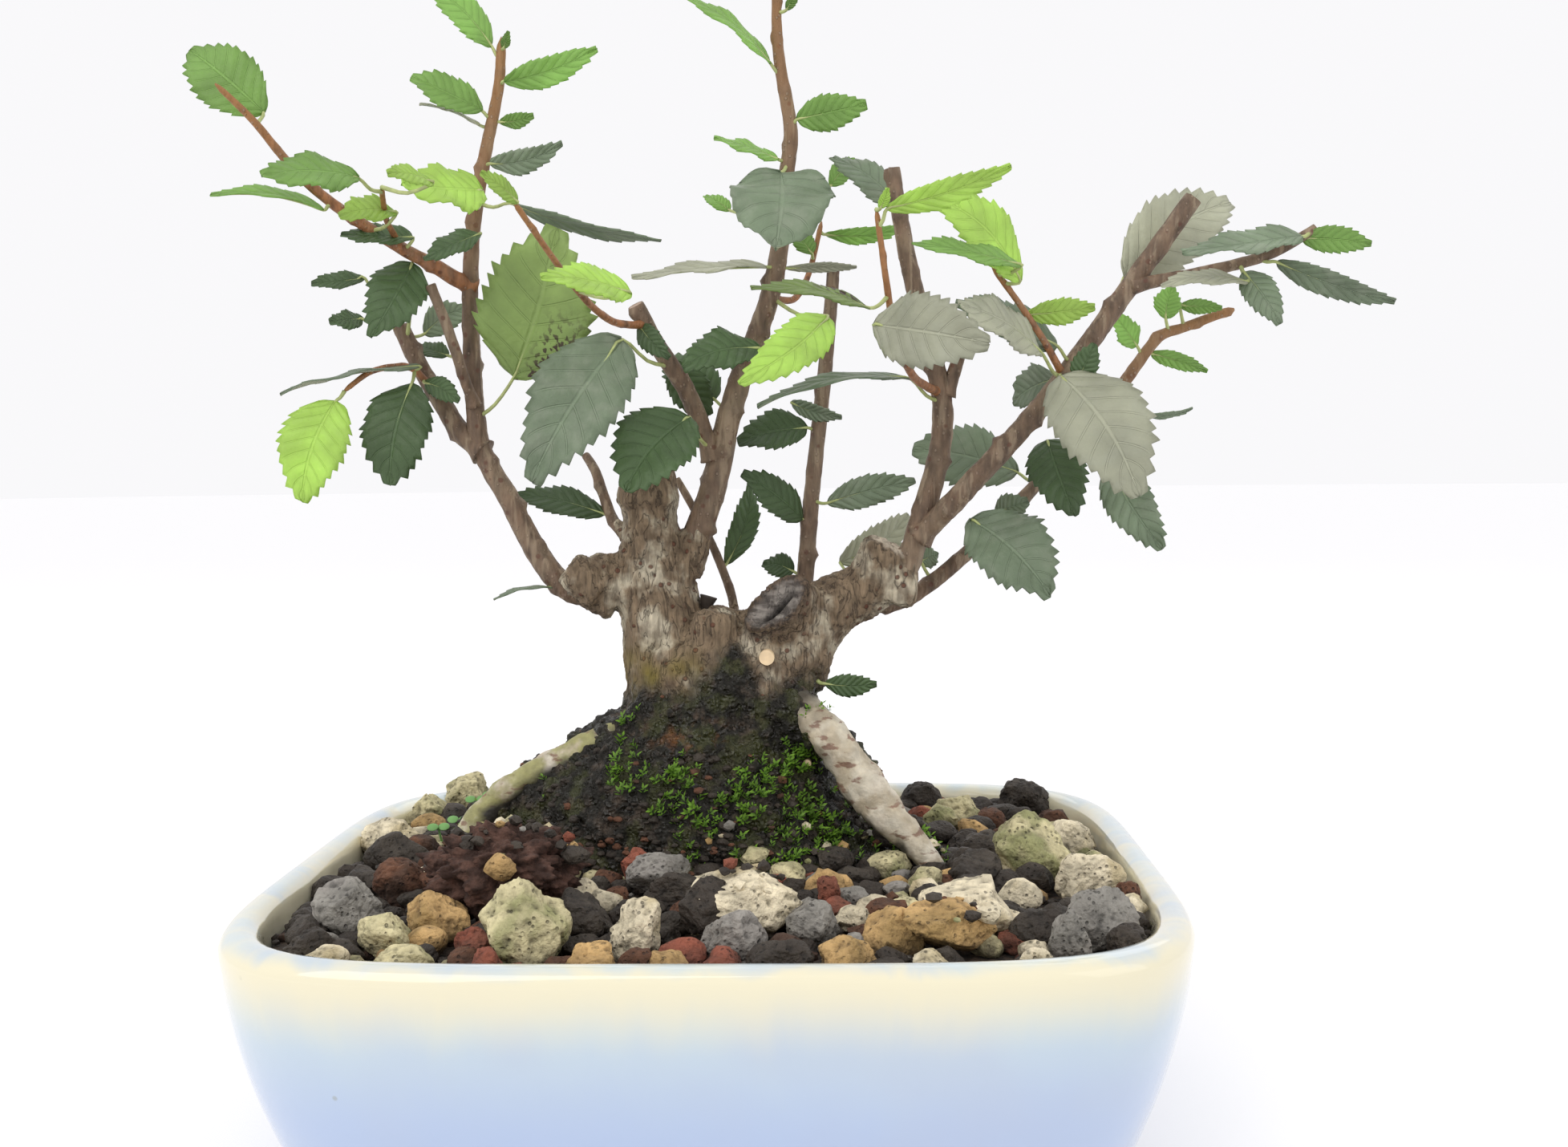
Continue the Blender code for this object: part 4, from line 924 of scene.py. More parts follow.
def carve_scar(vert, spot, layers):
    """The hollow oval left by a sawn limb: a raised collar, a sunk face and a slot painted near black as shade."""
    away = spot - SCAR_PLACE
    if away.length > 8 or vert.normal.dot(SCAR_FACING) < 0.15:
        return
    long_way = (SCAR_LONG - SCAR_FACING * SCAR_LONG.dot(SCAR_FACING)).normalized()
    short_way = SCAR_FACING.cross(long_way)
    u = away.dot(long_way)
    w = away.dot(short_way)
    reach = math.hypot(u / SCAR_REACH[0], w / SCAR_REACH[1])
    collar = 0.75 * math.exp(-(((reach - 1.12) / 0.2) ** 2))
    sunk = 1.3 * max(0.0, 1 - reach**2)
    line = u * 0.12 - w
    slot = math.exp(-(((line - 0.2) / 0.5) ** 2)) * max(0.0, 1 - (u / 4.2) ** 2) if reach < 1 else 0.0
    vert.co += SCAR_FACING * (collar - sunk - 1.6 * slot) * MM
    inside = min(max((1.02 - reach) / 0.12, 0.0), 1.0)
    vert[layers["scar"]] = inside
    vert[layers["rim"]] = math.exp(-(((reach - 0.98) / 0.16) ** 2)) if away.length < 7 else 0.0
    vert[layers["slot"]] = min(1.0, slot * 1.4) * inside


class BONSAI_OT_trunk(bpy.types.Operator):
    """Model the trunk's bark, its scars and the damp crust over its roots"""

    bl_idname = "bonsai.trunk"
    bl_label = "Trunk"

    def execute(self, context):
        wood = context.scene.bonsai_wood
        bm = trunk_skin()
        layers = {name: bm.verts.layers.float.new(name) for name in ("wet", "algae", "rusty", "worn", "scar", "rim", "slot", "sawn")}
        for vert in bm.verts:
            spot = (vert.co - PLANT) / MM
            wet = damp(spot)
            vert[layers["wet"]] = wet
            algae = math.exp(-(((spot.z - 29) / 3.5) ** 2)) * max(0.0, min(1.0, (2 - spot.x) / 6))
            vert[layers["algae"]] = algae * min(1.0, 0.6 + noise.noise(spot * 0.3))
            rusty = math.exp(-(((spot.z - 20.5) / 2.2) ** 2) - ((spot.x + 5) / 5) ** 2)
            vert[layers["rusty"]] = rusty
            away = (spot - Vector((-10.5, spot.y, 36))).length
            vert[layers["worn"]] = math.exp(-((away / 3.5) ** 2)) + (0.35 if spot.x < -6 and spot.z > 33 else 0.0)
            vert.co += vert.normal * bark_relief(spot, wet, wood.bark_depth / MM) * MM
        bm.normal_update()
        for vert in bm.verts:
            spot = (vert.co - PLANT) / MM
            carve_scar(vert, spot, layers)
            for place, facing, reach in SAWN_ENDS:
                away = spot - Vector(place)
                if away.length < reach * 1.3 and vert.normal.dot(Vector(facing).normalized()) > 0.55:
                    vert[layers["sawn"]] = min(1.0, (reach * 1.3 - away.length) / 0.8)
        new_piece("trunk_bark", bm, [bark_finish(wood)], ["trunk"])
        return {"FINISHED"}


class BONSAI_OT_roots(bpy.types.Operator):
    """Model the two bare roots that run down the mound"""

    bl_idname = "bonsai.roots"
    bl_label = "Bare roots"

    def execute(self, context):
        skin = root_finish(context.scene.bonsai_wood)
        for name, rows in (("root_left", LEFT_ROOT), ("root_right", RIGHT_ROOT)):
            bm = bmesh.new()
            wet = bm.verts.layers.float.new("wet")
            algae = bm.verts.layers.float.new("algae")
            line = [Vector((*plant_point(row), row[3] * MM)) for row in rows]
            line = even_line(line, 0.5 * MM)
            left = name == "root_left"

            def relief(i, row, way, angle):
                spot = (row.xyz + way * row.w) / MM
                return 1 + 0.26 * noise.noise(spot * 0.30) + 0.12 * noise.noise(spot * 0.9)

            def paint(vert, i, row):
                under = (row.xyz - vert.co).normalized()
                lower = under.z + (0.3 if left else -0.25) + 0.5 * noise.noise(vert.co * 350)
                buried = 1.3 - i * 0.09 + 0.5 * noise.noise(vert.co * 500)
                vert[wet] = min(max(lower * 2.0, buried, 0.0), 1.0)
                vert[algae] = 0.9 if left else 0.1

            grow_tube(bm, line, 28, relief, paint)
            bmesh.ops.recalc_face_normals(bm, faces=bm.faces)
            new_piece(name, bm, [skin])
        return {"FINISHED"}


# ================================================================ stems
def flat_end(bm, foot):
    """The ring of points round the flat end farthest from foot."""
    far = max(bm.verts, key=lambda vert: (vert.co - foot).length)
    found = []
    for seed in far.link_faces:
        flat = {seed}
        todo = [seed]
        while todo:
            for edge in todo.pop().edges:
                for other in edge.link_faces:
                    if other not in flat and other.normal.dot(seed.normal) > 0.9995:
                        flat.add(other)
                        todo.append(other)
        verts = {vert for face in flat for vert in face.verts}
        if len(verts) > 5:
            middle = middle_of(verts)
            found.append((max((vert.co - middle).length for vert in verts), sorted(verts, key=lambda v: v.index)))
    return min(found, key=lambda item: item[0])[1]


def read_stem(node, parent):
    """Rows of (x, y, z, radius) along a packed stem, from inside its parent to its end."""
    bm = merged_copy(node)
    bm.verts.index_update()
    tree = surface_of(parent)
    foot = min(bm.verts, key=lambda vert: tree.find_nearest(vert.co)[3]).co.copy()
    ring = set(flat_end(bm, foot))
    seen = set()
    rows = []
    while len(ring) == 8:
        middle = middle_of(ring)
        reaches = [(vert.co - middle).length for vert in ring]
        radius = sum(reaches) / 8
        if max(reaches) - min(reaches) > 0.5 * radius:
            break
        rows.append(Vector((*middle, radius)))
        seen |= ring
        ring = {edge.other_vert(vert) for vert in ring for edge in vert.link_edges} - seen
    rest = [vert for vert in bm.verts if vert not in seen]
    last = rows[-1]
    if rest:
        middle = middle_of(rest)
        if (middle - last.xyz).length > 0.5 * MM:
            rows.append(Vector((*middle, last.w)))
            last = rows[-1]
    back = (last.xyz - rows[-2].xyz).normalized()
    rows.append(Vector((*(last.xyz + back * (last.w + 0.9 * MM)), last.w)))
    bm.free()
    return rows[::-1]


STEM_LINES = {}
EVEN_LINES = {}


def stem_line(node):
    if node not in STEM_LINES:
        parent = next(row[1] for row in STEMS if row[0] == node)
        STEM_LINES[node] = read_stem(node, parent)
    return STEM_LINES[node]


def nearest_on_stem(node, spot):
    """The point of a stem's middle line nearest to spot, and the radius there."""
    if node not in EVEN_LINES:
        EVEN_LINES[node] = even_line(stem_line(node), 0.8 * MM)
    line = EVEN_LINES[node]
    row = min(line, key=lambda item: (item.xyz - spot).length)
    return row.xyz, row.w


def nearest_wood(spot):
    """The point inside the nearest stem to spot, and how far its bark is."""
    found = []
    for node, *_ in STEMS:
        middle, radius = nearest_on_stem(node, spot)
        found.append(((middle - spot).length - radius, middle))
    gap, middle = min(found, key=lambda item: item[0])
    return middle, gap


def stem_mesh(node, end, seed):
    """A stem with a collar at its foot, swollen nodes with buds along it and its end cut or growing."""
    bm = bmesh.new()
    layers = {name: bm.verts.layers.float.new(name) for name in ("sawn", "warm", "joint")}
    line = even_line(stem_line(node), 0.45 * MM)
    pick = random.Random(seed)
    length = sum((b.xyz - a.xyz).length for a, b in zip(line, line[1:]))
    joints = []
    reached = pick.uniform(5, 8) * MM
    while reached < length:
        joints.append((reached, pick.uniform(0, 2 * math.pi)))
        reached += pick.uniform(5, 9) * MM
    walked = [0.0]
    for before, after in zip(line, line[1:]):
        walked.append(walked[-1] + (after.xyz - before.xyz).length)

    def relief(i, row, way, angle):
        spot = (row.xyz + way * row.w) / MM
        size = 1 + 0.07 * noise.noise(spot * 0.6) + 0.05 * noise.noise(spot * 1.7)
        foot = max(0.0, 1 - walked[i] / (3.2 * MM))
        size += 0.45 * foot**2
        for place, turned in joints:
            near = (walked[i] - place) / (0.7 * MM)
            if abs(near) < 3:
                size += (0.03 + 0.40 * max(0.0, math.cos(angle - turned)) ** 4) * math.exp(-near * near)
        if end == "cut" and i == len(line) - 1:
            size *= 0.93
        if end == "growing":
            size *= min(1.0, 0.35 + (length - walked[i]) / (1.6 * MM))
        return size

    def paint(vert, i, row):
        vert[layers["warm"]] = max(0.0, 1 - (length - walked[i]) / (0.45 * length)) if end == "growing" else 0.0
        vert[layers["joint"]] = 0.22 * max([math.exp(-(((walked[i] - p) / (0.5 * MM)) ** 2)) for p, _ in joints] + [0.0])

    rings = grow_tube(bm, line, 16, relief, paint, round_end=end == "growing")
    if end == "cut":
        cap = {face for vert in rings[-1] for face in vert.link_faces if len(face.verts) == 3}
        inner = bmesh.ops.inset_region(bm, faces=list(cap), thickness=line[-1].w * 0.16, depth=-0.00008)
        del inner
        for vert in {vert for face in cap for vert in face.verts}:
            vert[layers["sawn"]] = 1.0
    bmesh.ops.recalc_face_normals(bm, faces=bm.faces)
    return bm


class BONSAI_OT_stems(bpy.types.Operator):
    """Model the stems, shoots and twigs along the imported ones"""

    bl_idname = "bonsai.stems"
    bl_label = "Stems"

    def execute(self, context):
        wood = context.scene.bonsai_wood
        finishes = {
            "stem": stem_finish("stem_bark", wood.stem_bark, False),
            "shoot": stem_finish("young_shoot", wood.shoot_bark, True),
        }
        for seed, (node, _, kind, end) in enumerate(STEMS):
            new_piece(node + "_wood", stem_mesh(node, end, seed), [finishes[kind]], [node])
        return {"FINISHED"}


# ================================================================ leaves
def read_leaf(node):
    """Where a packed leaf's stalk starts, where its blade starts and ends, its width and the way across it."""
    bm = merged_copy(node)
    middle = middle_of(bm.verts)
    end = max(bm.verts, key=lambda vert: (vert.co - middle).length)
    column = set(sorted(bm.verts, key=lambda vert: (vert.co - end.co).length)[:6])
    seen = set()
    columns = []
    while column:
        columns.append([vert.co.copy() for vert in column])
        seen |= column
        column = {edge.other_vert(vert) for vert in column for edge in vert.link_edges} - seen
    bm.free()
    spans = []
    for column in columns:
        pair = max(((a, b) for a in column for b in column), key=lambda ends: (ends[0] - ends[1]).length)
        spans.append(pair[1] - pair[0])
    middles = [sum(column, Vector()) / len(column) for column in columns]
    if nearest_wood(middles[0])[1] > nearest_wood(middles[-1])[1]:
        middles.reverse()
    wide = max(spans, key=lambda span: span.length)
    return middles[0], middles[1], middles[-1], wide.length, wide.normalized()


def tooth_height(column, size):
    """How far a blade's edge stands out at a column: each tooth rises slowly and drops behind its point."""
    return (0.0, 0.30, 0.68, 1.0)[column % 4] * size


def add_blade(bm, base, tip, width, across, face, leaf, pick, layers):
    """A toothed blade, folded along its midrib, arched along its length and waved at its edge."""
    axis = tip - base
    length = axis.length
    axis = axis.normalized()
    teeth = min(12, max(6, round(5 + length / (2.6 * MM))))
    columns = 4 * teeth
    made = bmesh.ops.create_grid(bm, x_segments=columns, y_segments=LEAF_ROWS, size=0.5)["verts"]
    fold = pick.uniform(0.08, 0.30)
    arch = pick.uniform(0.10, 0.28)
    curl = pick.uniform(-0.02, 0.12)
    wave = pick.uniform(0.025, 0.07)
    sway = pick.uniform(-0.07, 0.07)
    twist = pick.uniform(-0.3, 0.3)
    phase = pick.uniform(0, 2 * math.pi)
    blunt = pick.uniform(0.72, 0.92)
    tooth = leaf.tooth * (0.25 if width > 11 * MM and length < 22 * MM and width > 0.78 * length else 1.0)
    tone = pick.random()
    sizes = [[pick.uniform(0.65, 1.35) for _ in range(teeth + 1)] for _ in range(2)]
    half_full = width / 2
    for vert in made:
        column = round((vert.co.x + 0.5) * columns)
        side = vert.co.y * 2
        out = abs(side)
        share = column / columns
        half = half_full * math.sin(math.pi * share**blunt) ** 0.70 if 0 < column < columns else 0.12 * MM
        ahead = 0.0
        if out > 0.99 and 2 < column < columns:
            size = sizes[side > 0][column // 4] * min(1.0, 5 * share)
            stand = tooth_height(column, size)
            half += tooth * half_full * (stand - 0.4)
            ahead = 0.9 * stand / columns
        lift = arch * length * (share - share**2) - curl * length * share**3
        lift += fold * half * out - 0.10 * half * out**3
        lift += wave * width * out**2 * math.sin(phase + 4.5 * math.pi * share + (1.3 if side > 0 else 0))
        turned = twist * (share - 0.3)
        way = across * math.cos(turned) + face * math.sin(turned)
        vert.co = base + axis * (length * (share + ahead)) + way * (half * side) + face * lift
        vert.co += across * (sway * length * math.sin(math.pi * share))
        vert[layers["leaf_place"]] = Vector((share, side, tone))
    faces = list({f for vert in made for f in vert.link_faces})
    for part in faces + made:
        part.normal_update()
    shell = bmesh.ops.solidify(bm, geom=faces, thickness=leaf.thickness)
    every = set(faces) | {item for item in shell["geom"] if isinstance(item, bmesh.types.BMFace)}
    bmesh.ops.recalc_face_normals(bm, faces=list(every))
    drawn = set(faces)
    drawn_is_top = sum(f.normal.dot(face) for f in drawn) > 0
    for f in every:
        f.material_index = 0 if (f in drawn) == drawn_is_top else 1

    def rib(share):
        lift = arch * length * (share - share**2) - curl * length * share**3
        spot = base + axis * (length * share) + face * (lift - leaf.thickness / 2)
        return spot + across * (sway * length * math.sin(math.pi * share))

    return rib


def add_stalk(bm, start, base, rib, layers):
    """The stalk from the stem to the blade, run on under the blade as its midrib."""
    sag = Vector((0, 0, -0.10)) * (base - start).length
    rows = [(*start, 0.36 * MM), (*((start + base) / 2 + sag), 0.29 * MM), (*base, 0.25 * MM)]
    rows += [(*rib(share), (0.17 - 0.13 * share) * MM) for share in (0.15, 0.35, 0.55, 0.75, 0.92)]
    line = smooth_line(rows, 3)
    before = set(bm.faces)
    grow_tube(bm, line, 7, lambda i, row, way, angle: 1.0)
    fresh = [f for f in bm.faces if f not in before]
    bmesh.ops.recalc_face_normals(bm, faces=fresh)
    for f in fresh:
        f.material_index = 2
        for vert in f.verts:
            vert[layers["leaf_place"]] = Vector((0.5, 0.5, 0.5))


def facing_of(axis, across):
    face = across.cross(axis).normalized()
    return face if face.dot(Vector((0, -1, 0.35))) > 0 else -face


def add_leaf(bm, start, base, tip, width, across, leaf, pick, layers):
    axis = (tip - base).normalized()
    across = (across - axis * across.dot(axis)).normalized()
    face = facing_of(axis, across)
    rib = add_blade(bm, base, tip, width, across, face, leaf, pick, layers)
    add_stalk(bm, start, base, rib, layers)


def new_leaf_mesh():
    bm = bmesh.new()
    return bm, {"leaf_place": bm.verts.layers.float_vector.new("leaf_place")}


def turned_across(axis, degrees):
    """The way across a blade that faces forwards and a little up, turned about its length."""
    facing = Vector((0, -1, 0.35))
    face = (facing - axis * axis.dot(facing)).normalized()
    face.rotate(Matrix.Rotation(math.radians(degrees), 3, axis))
    return face.cross(axis).normalized()


class BONSAI_OT_leaves(bpy.types.Operator):
    """Model every leaf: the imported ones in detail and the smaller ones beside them"""

    bl_idname = "bonsai.leaves"
    bl_label = "Leaves"

    def execute(self, context):
        leaf = context.scene.bonsai_leaf
        tints = {kind: tuple(getattr(leaf, kind)) for kind in LEAF_KINDS}
        backs = {"fresh": "fresh", "lime": "lime", "dark": "beige", "blue": "beige", "beige": "blue", "olive": "olive"}
        tops = {kind: leaf_finish(kind, tints[kind], False) for kind in tints}
        unders = {}
        for kind, back in backs.items():
            pale = [0.7 * part + 0.3 * grey for part, grey in zip(tints[back], (0.42, 0.46, 0.30))]
            unders[kind] = leaf_finish(kind, pale, True)
        stalk = stalk_finish()
        seed = 0
        for kind, names in LEAF_KINDS.items():
            for name in names:
                seed += 1
                start, base, tip, width, across = read_leaf("leaf_" + name)
                bm, layers = new_leaf_mesh()
                start, _ = nearest_wood(start)
                add_leaf(bm, start, base, tip, width, across, leaf, random.Random(seed), layers)
                new_piece("blade_" + name, bm, [tops[kind], unders[kind], stalk], ["leaf_" + name])
        for kind in tints:
            rows = [row for row in SMALL_LEAVES if row[0] == kind]
            if not rows:
                continue
            bm, layers = new_leaf_mesh()
            for _, stem, base, tip, width, turn in rows:
                seed += 1
                base = plant_point(base)
                tip = plant_point(tip)
                if stem == "trunk":
                    start = surface_of("trunk").find_nearest(base)[0]
                else:
                    start, _ = nearest_on_stem(stem, base)
                across = turned_across((tip - base).normalized(), turn)
                add_leaf(bm, start, base, tip, width * MM, across, leaf, random.Random(seed), layers)
            new_piece("small_leaves_" + kind, bm, [tops[kind], unders[kind], stalk])
        return {"FINISHED"}


# ================================================================ grit
STAINS = {
    "cream": (0.50, 0.40, 0.20), "mossy": (0.20, 0.23, 0.07), "ochre": (0.36, 0.24, 0.09), "grey": (0.38, 0.35, 0.32),
    "lava": (0.075, 0.06, 0.045), "brick": (0.20, 0.08, 0.05), "rust": (0.06, 0.04, 0.03),
}
KIND_ODDS = (("lava", 50), ("rust", 12), ("mossy", 10), ("cream", 9), ("ochre", 8), ("grey", 7), ("brick", 4))


def inside_pot(x, y, margin):
    """Whether a spot, in millimetres from the pot's middle, is inside its wall by margin."""
    reach = (pot_half_width(SOIL_TOP) - 0.005) / MM - margin
    return (abs(x) ** SQUARENESS + abs(y) ** SQUARENESS) ** (1 / SQUARENESS) < reach


def add_stone(bm, centre, size, pick, detail):
    """One crushed stone: a ball trimmed by flats that face random ways, then pitted."""
    stone = bmesh.new()
    hollow = stone.verts.layers.float.new("hollow")
    made = bmesh.ops.create_icosphere(stone, subdivisions=detail, radius=0.5)["verts"]
    flats = []
    for _ in range(8):
        way = Vector((pick.gauss(0, 1), pick.gauss(0, 1), pick.gauss(0, 1))).normalized()
        flats.append((way, pick.uniform(0.30, 0.47)))
    turn = Matrix.Rotation(pick.uniform(0, 6.28), 3, "Z") @ Matrix.Rotation(pick.uniform(-0.35, 0.35), 3, "X")
    shift = Vector((pick.uniform(-50, 50), pick.uniform(-50, 50), 0))
    squat = Matrix.Diagonal(size)
    for vert in made:
        way = vert.co.normalized()
        reach = 0.5
        for flat, depth in flats:
            facing = way.dot(flat)
            if facing > 0:
                reach = min(reach, depth / facing)
        spot = way * reach
        lump = noise.noise(spot * 3.2 + shift)
        pit = 0.0
        if detail > 2:
            pit = max(0.0, noise.noise(spot * 9 + shift)) + 0.6 * max(0.0, noise.noise(spot * 19 + shift))
        vert.co = centre + squat @ (turn @ (spot * (1 + 0.20 * lump - 0.13 * pit)))
        # The hollow layer marks the pits, which the stone finish darkens as painted shade.
        vert[hollow] = min(1.0, max(0.0, 1.6 * pit - 0.5 * lump))
    mesh = bpy.data.meshes.new("stone")
    stone.to_mesh(mesh)
    stone.free()
    bm.from_mesh(mesh)
    bpy.data.meshes.remove(mesh)


class Ground:
    """The soil and mound under the grit, and what already lies on them."""

    def __init__(self):
        self.tree = surface_of("soil", "trunk", "peat_lump", "stone_cream", "stone_ochre")
        self.mound = surface_of("trunk")
        self.laid = []

    def height(self, x, y):
        hit = self.tree.ray_cast(Vector((x, y, RIM + 0.2)), Vector((0, 0, -1)))[0]
        return hit.z if hit else SOIL_TOP

    def on_mound(self, x, y, margin):
        hit = self.mound.ray_cast(Vector((x, y, RIM + 0.2)), Vector((0, 0, -1)))[0]
        return hit is not None and hit.z > SOIL_TOP + margin

    def free(self, x, y, size, overlap):
        return all(math.hypot(x - a, y - b) > (size + c) / 2 * overlap for a, b, c in self.laid)


class BONSAI_OT_grit(bpy.types.Operator):
    """Lay the stones, the crumbs and the lump of peat on the soil"""

    bl_idname = "bonsai.grit"
    bl_label = "Grit"

    def execute(self, context):
        grit = context.scene.bonsai_grit
        kinds = [kind for kind, _ in KIND_ODDS]
        finishes = {kind: stone_finish(kind, tuple(getattr(grit, kind)), STAINS[kind]) for kind in kinds}
        ground = Ground()
        piles = {kind: bmesh.new() for kind in kinds}
        pick = random.Random(11)
        for node, kind in (("stone_cream", "cream"), ("stone_ochre", "ochre")):
            low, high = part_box(node)
            bm = bmesh.new()
            add_stone(bm, (low + high) / 2, (high - low) * 1.06, random.Random(len(node)), 5)
            bmesh.ops.recalc_face_normals(bm, faces=bm.faces)
            new_piece(node + "_fine", bm, [finishes[kind]], [node])
            ground.laid.append(((low.x + high.x) / 2, (low.y + high.y) / 2, (high.x - low.x + high.y - low.y) / 2))
        self.peat(grit, ground)
        for kind, x, y, size_x, size_y, size_z, lift in STONES:
            spot = POT_MIDDLE + Vector((x, y, 0)) * MM
            size = Vector((size_x, size_y, size_z)) * MM
            z = max(ground.height(spot.x, spot.y), SOIL_TOP - 3 * MM)
            z = min(z, SOIL_TOP + 2 * MM) + size.z * 0.36 + lift * MM
            add_stone(piles[kind], Vector((spot.x, spot.y, z)), size * 1.1, pick, 5)
            ground.laid.append((spot.x, spot.y, (size.x + size.y) / 2))
        self.scatter(grit.stones, (3.0, 6.8), 3, 0.62, ground, piles, pick)
        self.scatter(grit.crumbs, (1.0, 2.6), 1, 0.30, ground, piles, pick)
        self.crust(grit.crust, piles, pick)
        for kind, bm in piles.items():
            bmesh.ops.recalc_face_normals(bm, faces=bm.faces)
            new_piece("grit_" + kind, bm, [finishes[kind]], sharp=50)
        dress(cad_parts["soil"], soil_finish())
        return {"FINISHED"}

    def peat(self, grit, ground):
        """A crumbly, fibrous lump."""
        low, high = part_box("peat_lump")
        bm = bmesh.new()
        bmesh.ops.create_icosphere(bm, subdivisions=6, radius=0.5)
        size = (high - low) * 0.96
        middle = (low + high) / 2
        for vert in bm.verts:
            way = vert.co.normalized()
            lump = 1 + 0.22 * noise.noise(way * 2.1) + 0.42 * (0.45 - noise.voronoi(way * 3.2)[0][0])
            lump += 0.20 * (0.4 - noise.voronoi(way * 8)[0][0]) + 0.05 * noise.noise(way * 24)
            vert.co = middle + Vector(a * b for a, b in zip(vert.co * lump, size))
        peat = Finish("peat", 0.92)
        peat.colour(peat.mix(peat.fade(peat.noise(0.5, 6), 0.38, 0.66), tuple(grit.peat), (0.12, 0.060, 0.043)))
        peat.bump(peat.noise(1.2, 6), 0.0008, 1.0)
        new_piece("peat_crumb", bm, [peat.material], ["peat_lump"])
        ground.laid.append((middle.x, middle.y, (size.x + size.y) / 2))

    def crust(self, count, piles, pick):
        """Sticks dark crumbs to the mound and the lower trunk."""
        skin = bpy.data.objects["trunk_bark"]
        tree = BVHTree.FromObject(skin, bpy.context.evaluated_depsgraph_get())
        for _ in range(count):
            angle = pick.uniform(0, 2 * math.pi)
            way = Vector((math.cos(angle), math.sin(angle), 0))
            low = abs(pick.gauss(0, 10))
            axis = PLANT + Vector((-2 * MM, 0, low * MM))
            hit, normal, _, _ = tree.ray_cast(axis + way * 0.08, -way)
            if hit is None or low > 28:
                continue
            across = pick.uniform(0.7, 2.0) * (1 if low < 18 else 0.6)
            size = Vector((across, across * pick.uniform(0.7, 1), across * pick.uniform(0.5, 0.8))) * MM
            kind = pick.choice(("lava", "lava", "lava", "lava", "lava", "rust"))
            add_stone(piles[kind], hit + normal * size.z * 0.1, size, pick, 2)

    def scatter(self, count, sizes, detail, overlap, ground, piles, pick):
        """Drops stones of mixed kinds wherever there is room between those already laid."""
        bag = [kind for kind, odds in KIND_ODDS for _ in range(odds)]
        laid = 0
        tries = 0
        while laid < count and tries < count * 12:
            tries += 1
            x = pick.uniform(-60, 60)
            y = pick.uniform(-60, 60)
            across = pick.uniform(*sizes)
            if not inside_pot(x, y, across * 0.42):
                continue
            spot = POT_MIDDLE + Vector((x, y, 0)) * MM
            if ground.on_mound(spot.x, spot.y, 3.5 * MM if detail > 1 else 9 * MM):
                continue
            if detail > 1 and not ground.free(spot.x, spot.y, across * MM, overlap):
                continue
            size = Vector((across, across * pick.uniform(0.7, 1.0), across * pick.uniform(0.6, 0.95))) * MM
            sunk = 0.34 if detail > 1 else pick.uniform(0.1, 0.6)
            z = ground.height(spot.x, spot.y) + size.z * sunk
            add_stone(piles[pick.choice(bag)], Vector((spot.x, spot.y, z)), size, pick, detail if across > 4.6 or detail == 1 else 2)
            if detail > 1:
                ground.laid.append((spot.x, spot.y, across * MM))
            laid += 1


# ================================================================ moss and small growth
def add_sprig(bm, spot, up, height, pick, layer):
    """One moss sprig: a stub of stem with pointed leaves round it."""
    side = up.orthogonal().normalized()
    for i in range(6):
        angle = i * 2.4 + pick.uniform(-0.3, 0.3)
        way = Quaternion(up, angle) @ side
        foot = spot + up * height * (0.10 + 0.12 * i)
        tip = foot + (up * 0.65 + way * 0.75) * height * pick.uniform(0.5, 0.75)
        cross = up.cross(way) * height * 0.13
        middle = (foot + tip) / 2 + up * height * 0.02
        points = [bm.verts.new(place) for place in (foot, middle - cross, tip, middle + cross)]
        bm.faces.new(points)
        for vert, share in zip(points, (0.0, 0.45, 1.0, 0.45)):
            vert[layer] = min(1.0, share * 0.7 + i * 0.06)


class BONSAI_OT_moss(bpy.types.Operator):
    """Grow moss cushions on the mound"""

    bl_idname = "bonsai.moss"
    bl_label = "Moss"

    def execute(self, context):
        moss = context.scene.bonsai_moss
        skin = bpy.data.objects["trunk_bark"]
        depsgraph = context.evaluated_depsgraph_get()
        tree = BVHTree.FromObject(skin, depsgraph)
        soil = surface_of("soil")
        pick = random.Random(5)
        bm = bmesh.new()
        layer = bm.verts.layers.float.new("tip")
        for x, z, reach_x, reach_z, count in MOSS_CUSHIONS:
            for _ in range(count):
                spot_x = x + pick.gauss(0, reach_x * 0.5)
                spot_z = z + pick.gauss(0, reach_z * 0.5)
                self.plant(bm, tree, soil, plant_point((spot_x, -60, spot_z)), Vector((0, 1, 0)), moss, pick, layer)
        for _ in range(260):
            angle = pick.uniform(0, 2 * math.pi)
            way = Vector((math.cos(angle), math.sin(angle), 0))
            if noise.noise(Vector((way.x * 2.2, way.y * 2.2, 3.3))) < 0.05 or way.y < -0.4:
                continue
            start = plant_point((0, 0, pick.uniform(1, 14))) - way * 0.08
            self.plant(bm, tree, soil, start, way, moss, pick, layer)
        bmesh.ops.recalc_face_normals(bm, faces=bm.faces)
        new_piece("moss_cushions", bm, [moss_finish(moss)])
        return {"FINISHED"}

    def plant(self, bm, tree, soil, start, way, moss, pick, layer):
        hit, normal, _, _ = tree.ray_cast(start, way)
        if hit is None or hit.z < SOIL_TOP - 1 * MM:
            return
        up = (normal * 0.8 + Vector((0, 0, 0.75))).normalized()
        up = (up + Vector((pick.uniform(-0.3, 0.3), pick.uniform(-0.3, 0.3), 0))).normalized()
        add_sprig(bm, hit - normal * 0.2 * MM, up, moss.sprig * pick.uniform(0.6, 1.15), pick, layer)


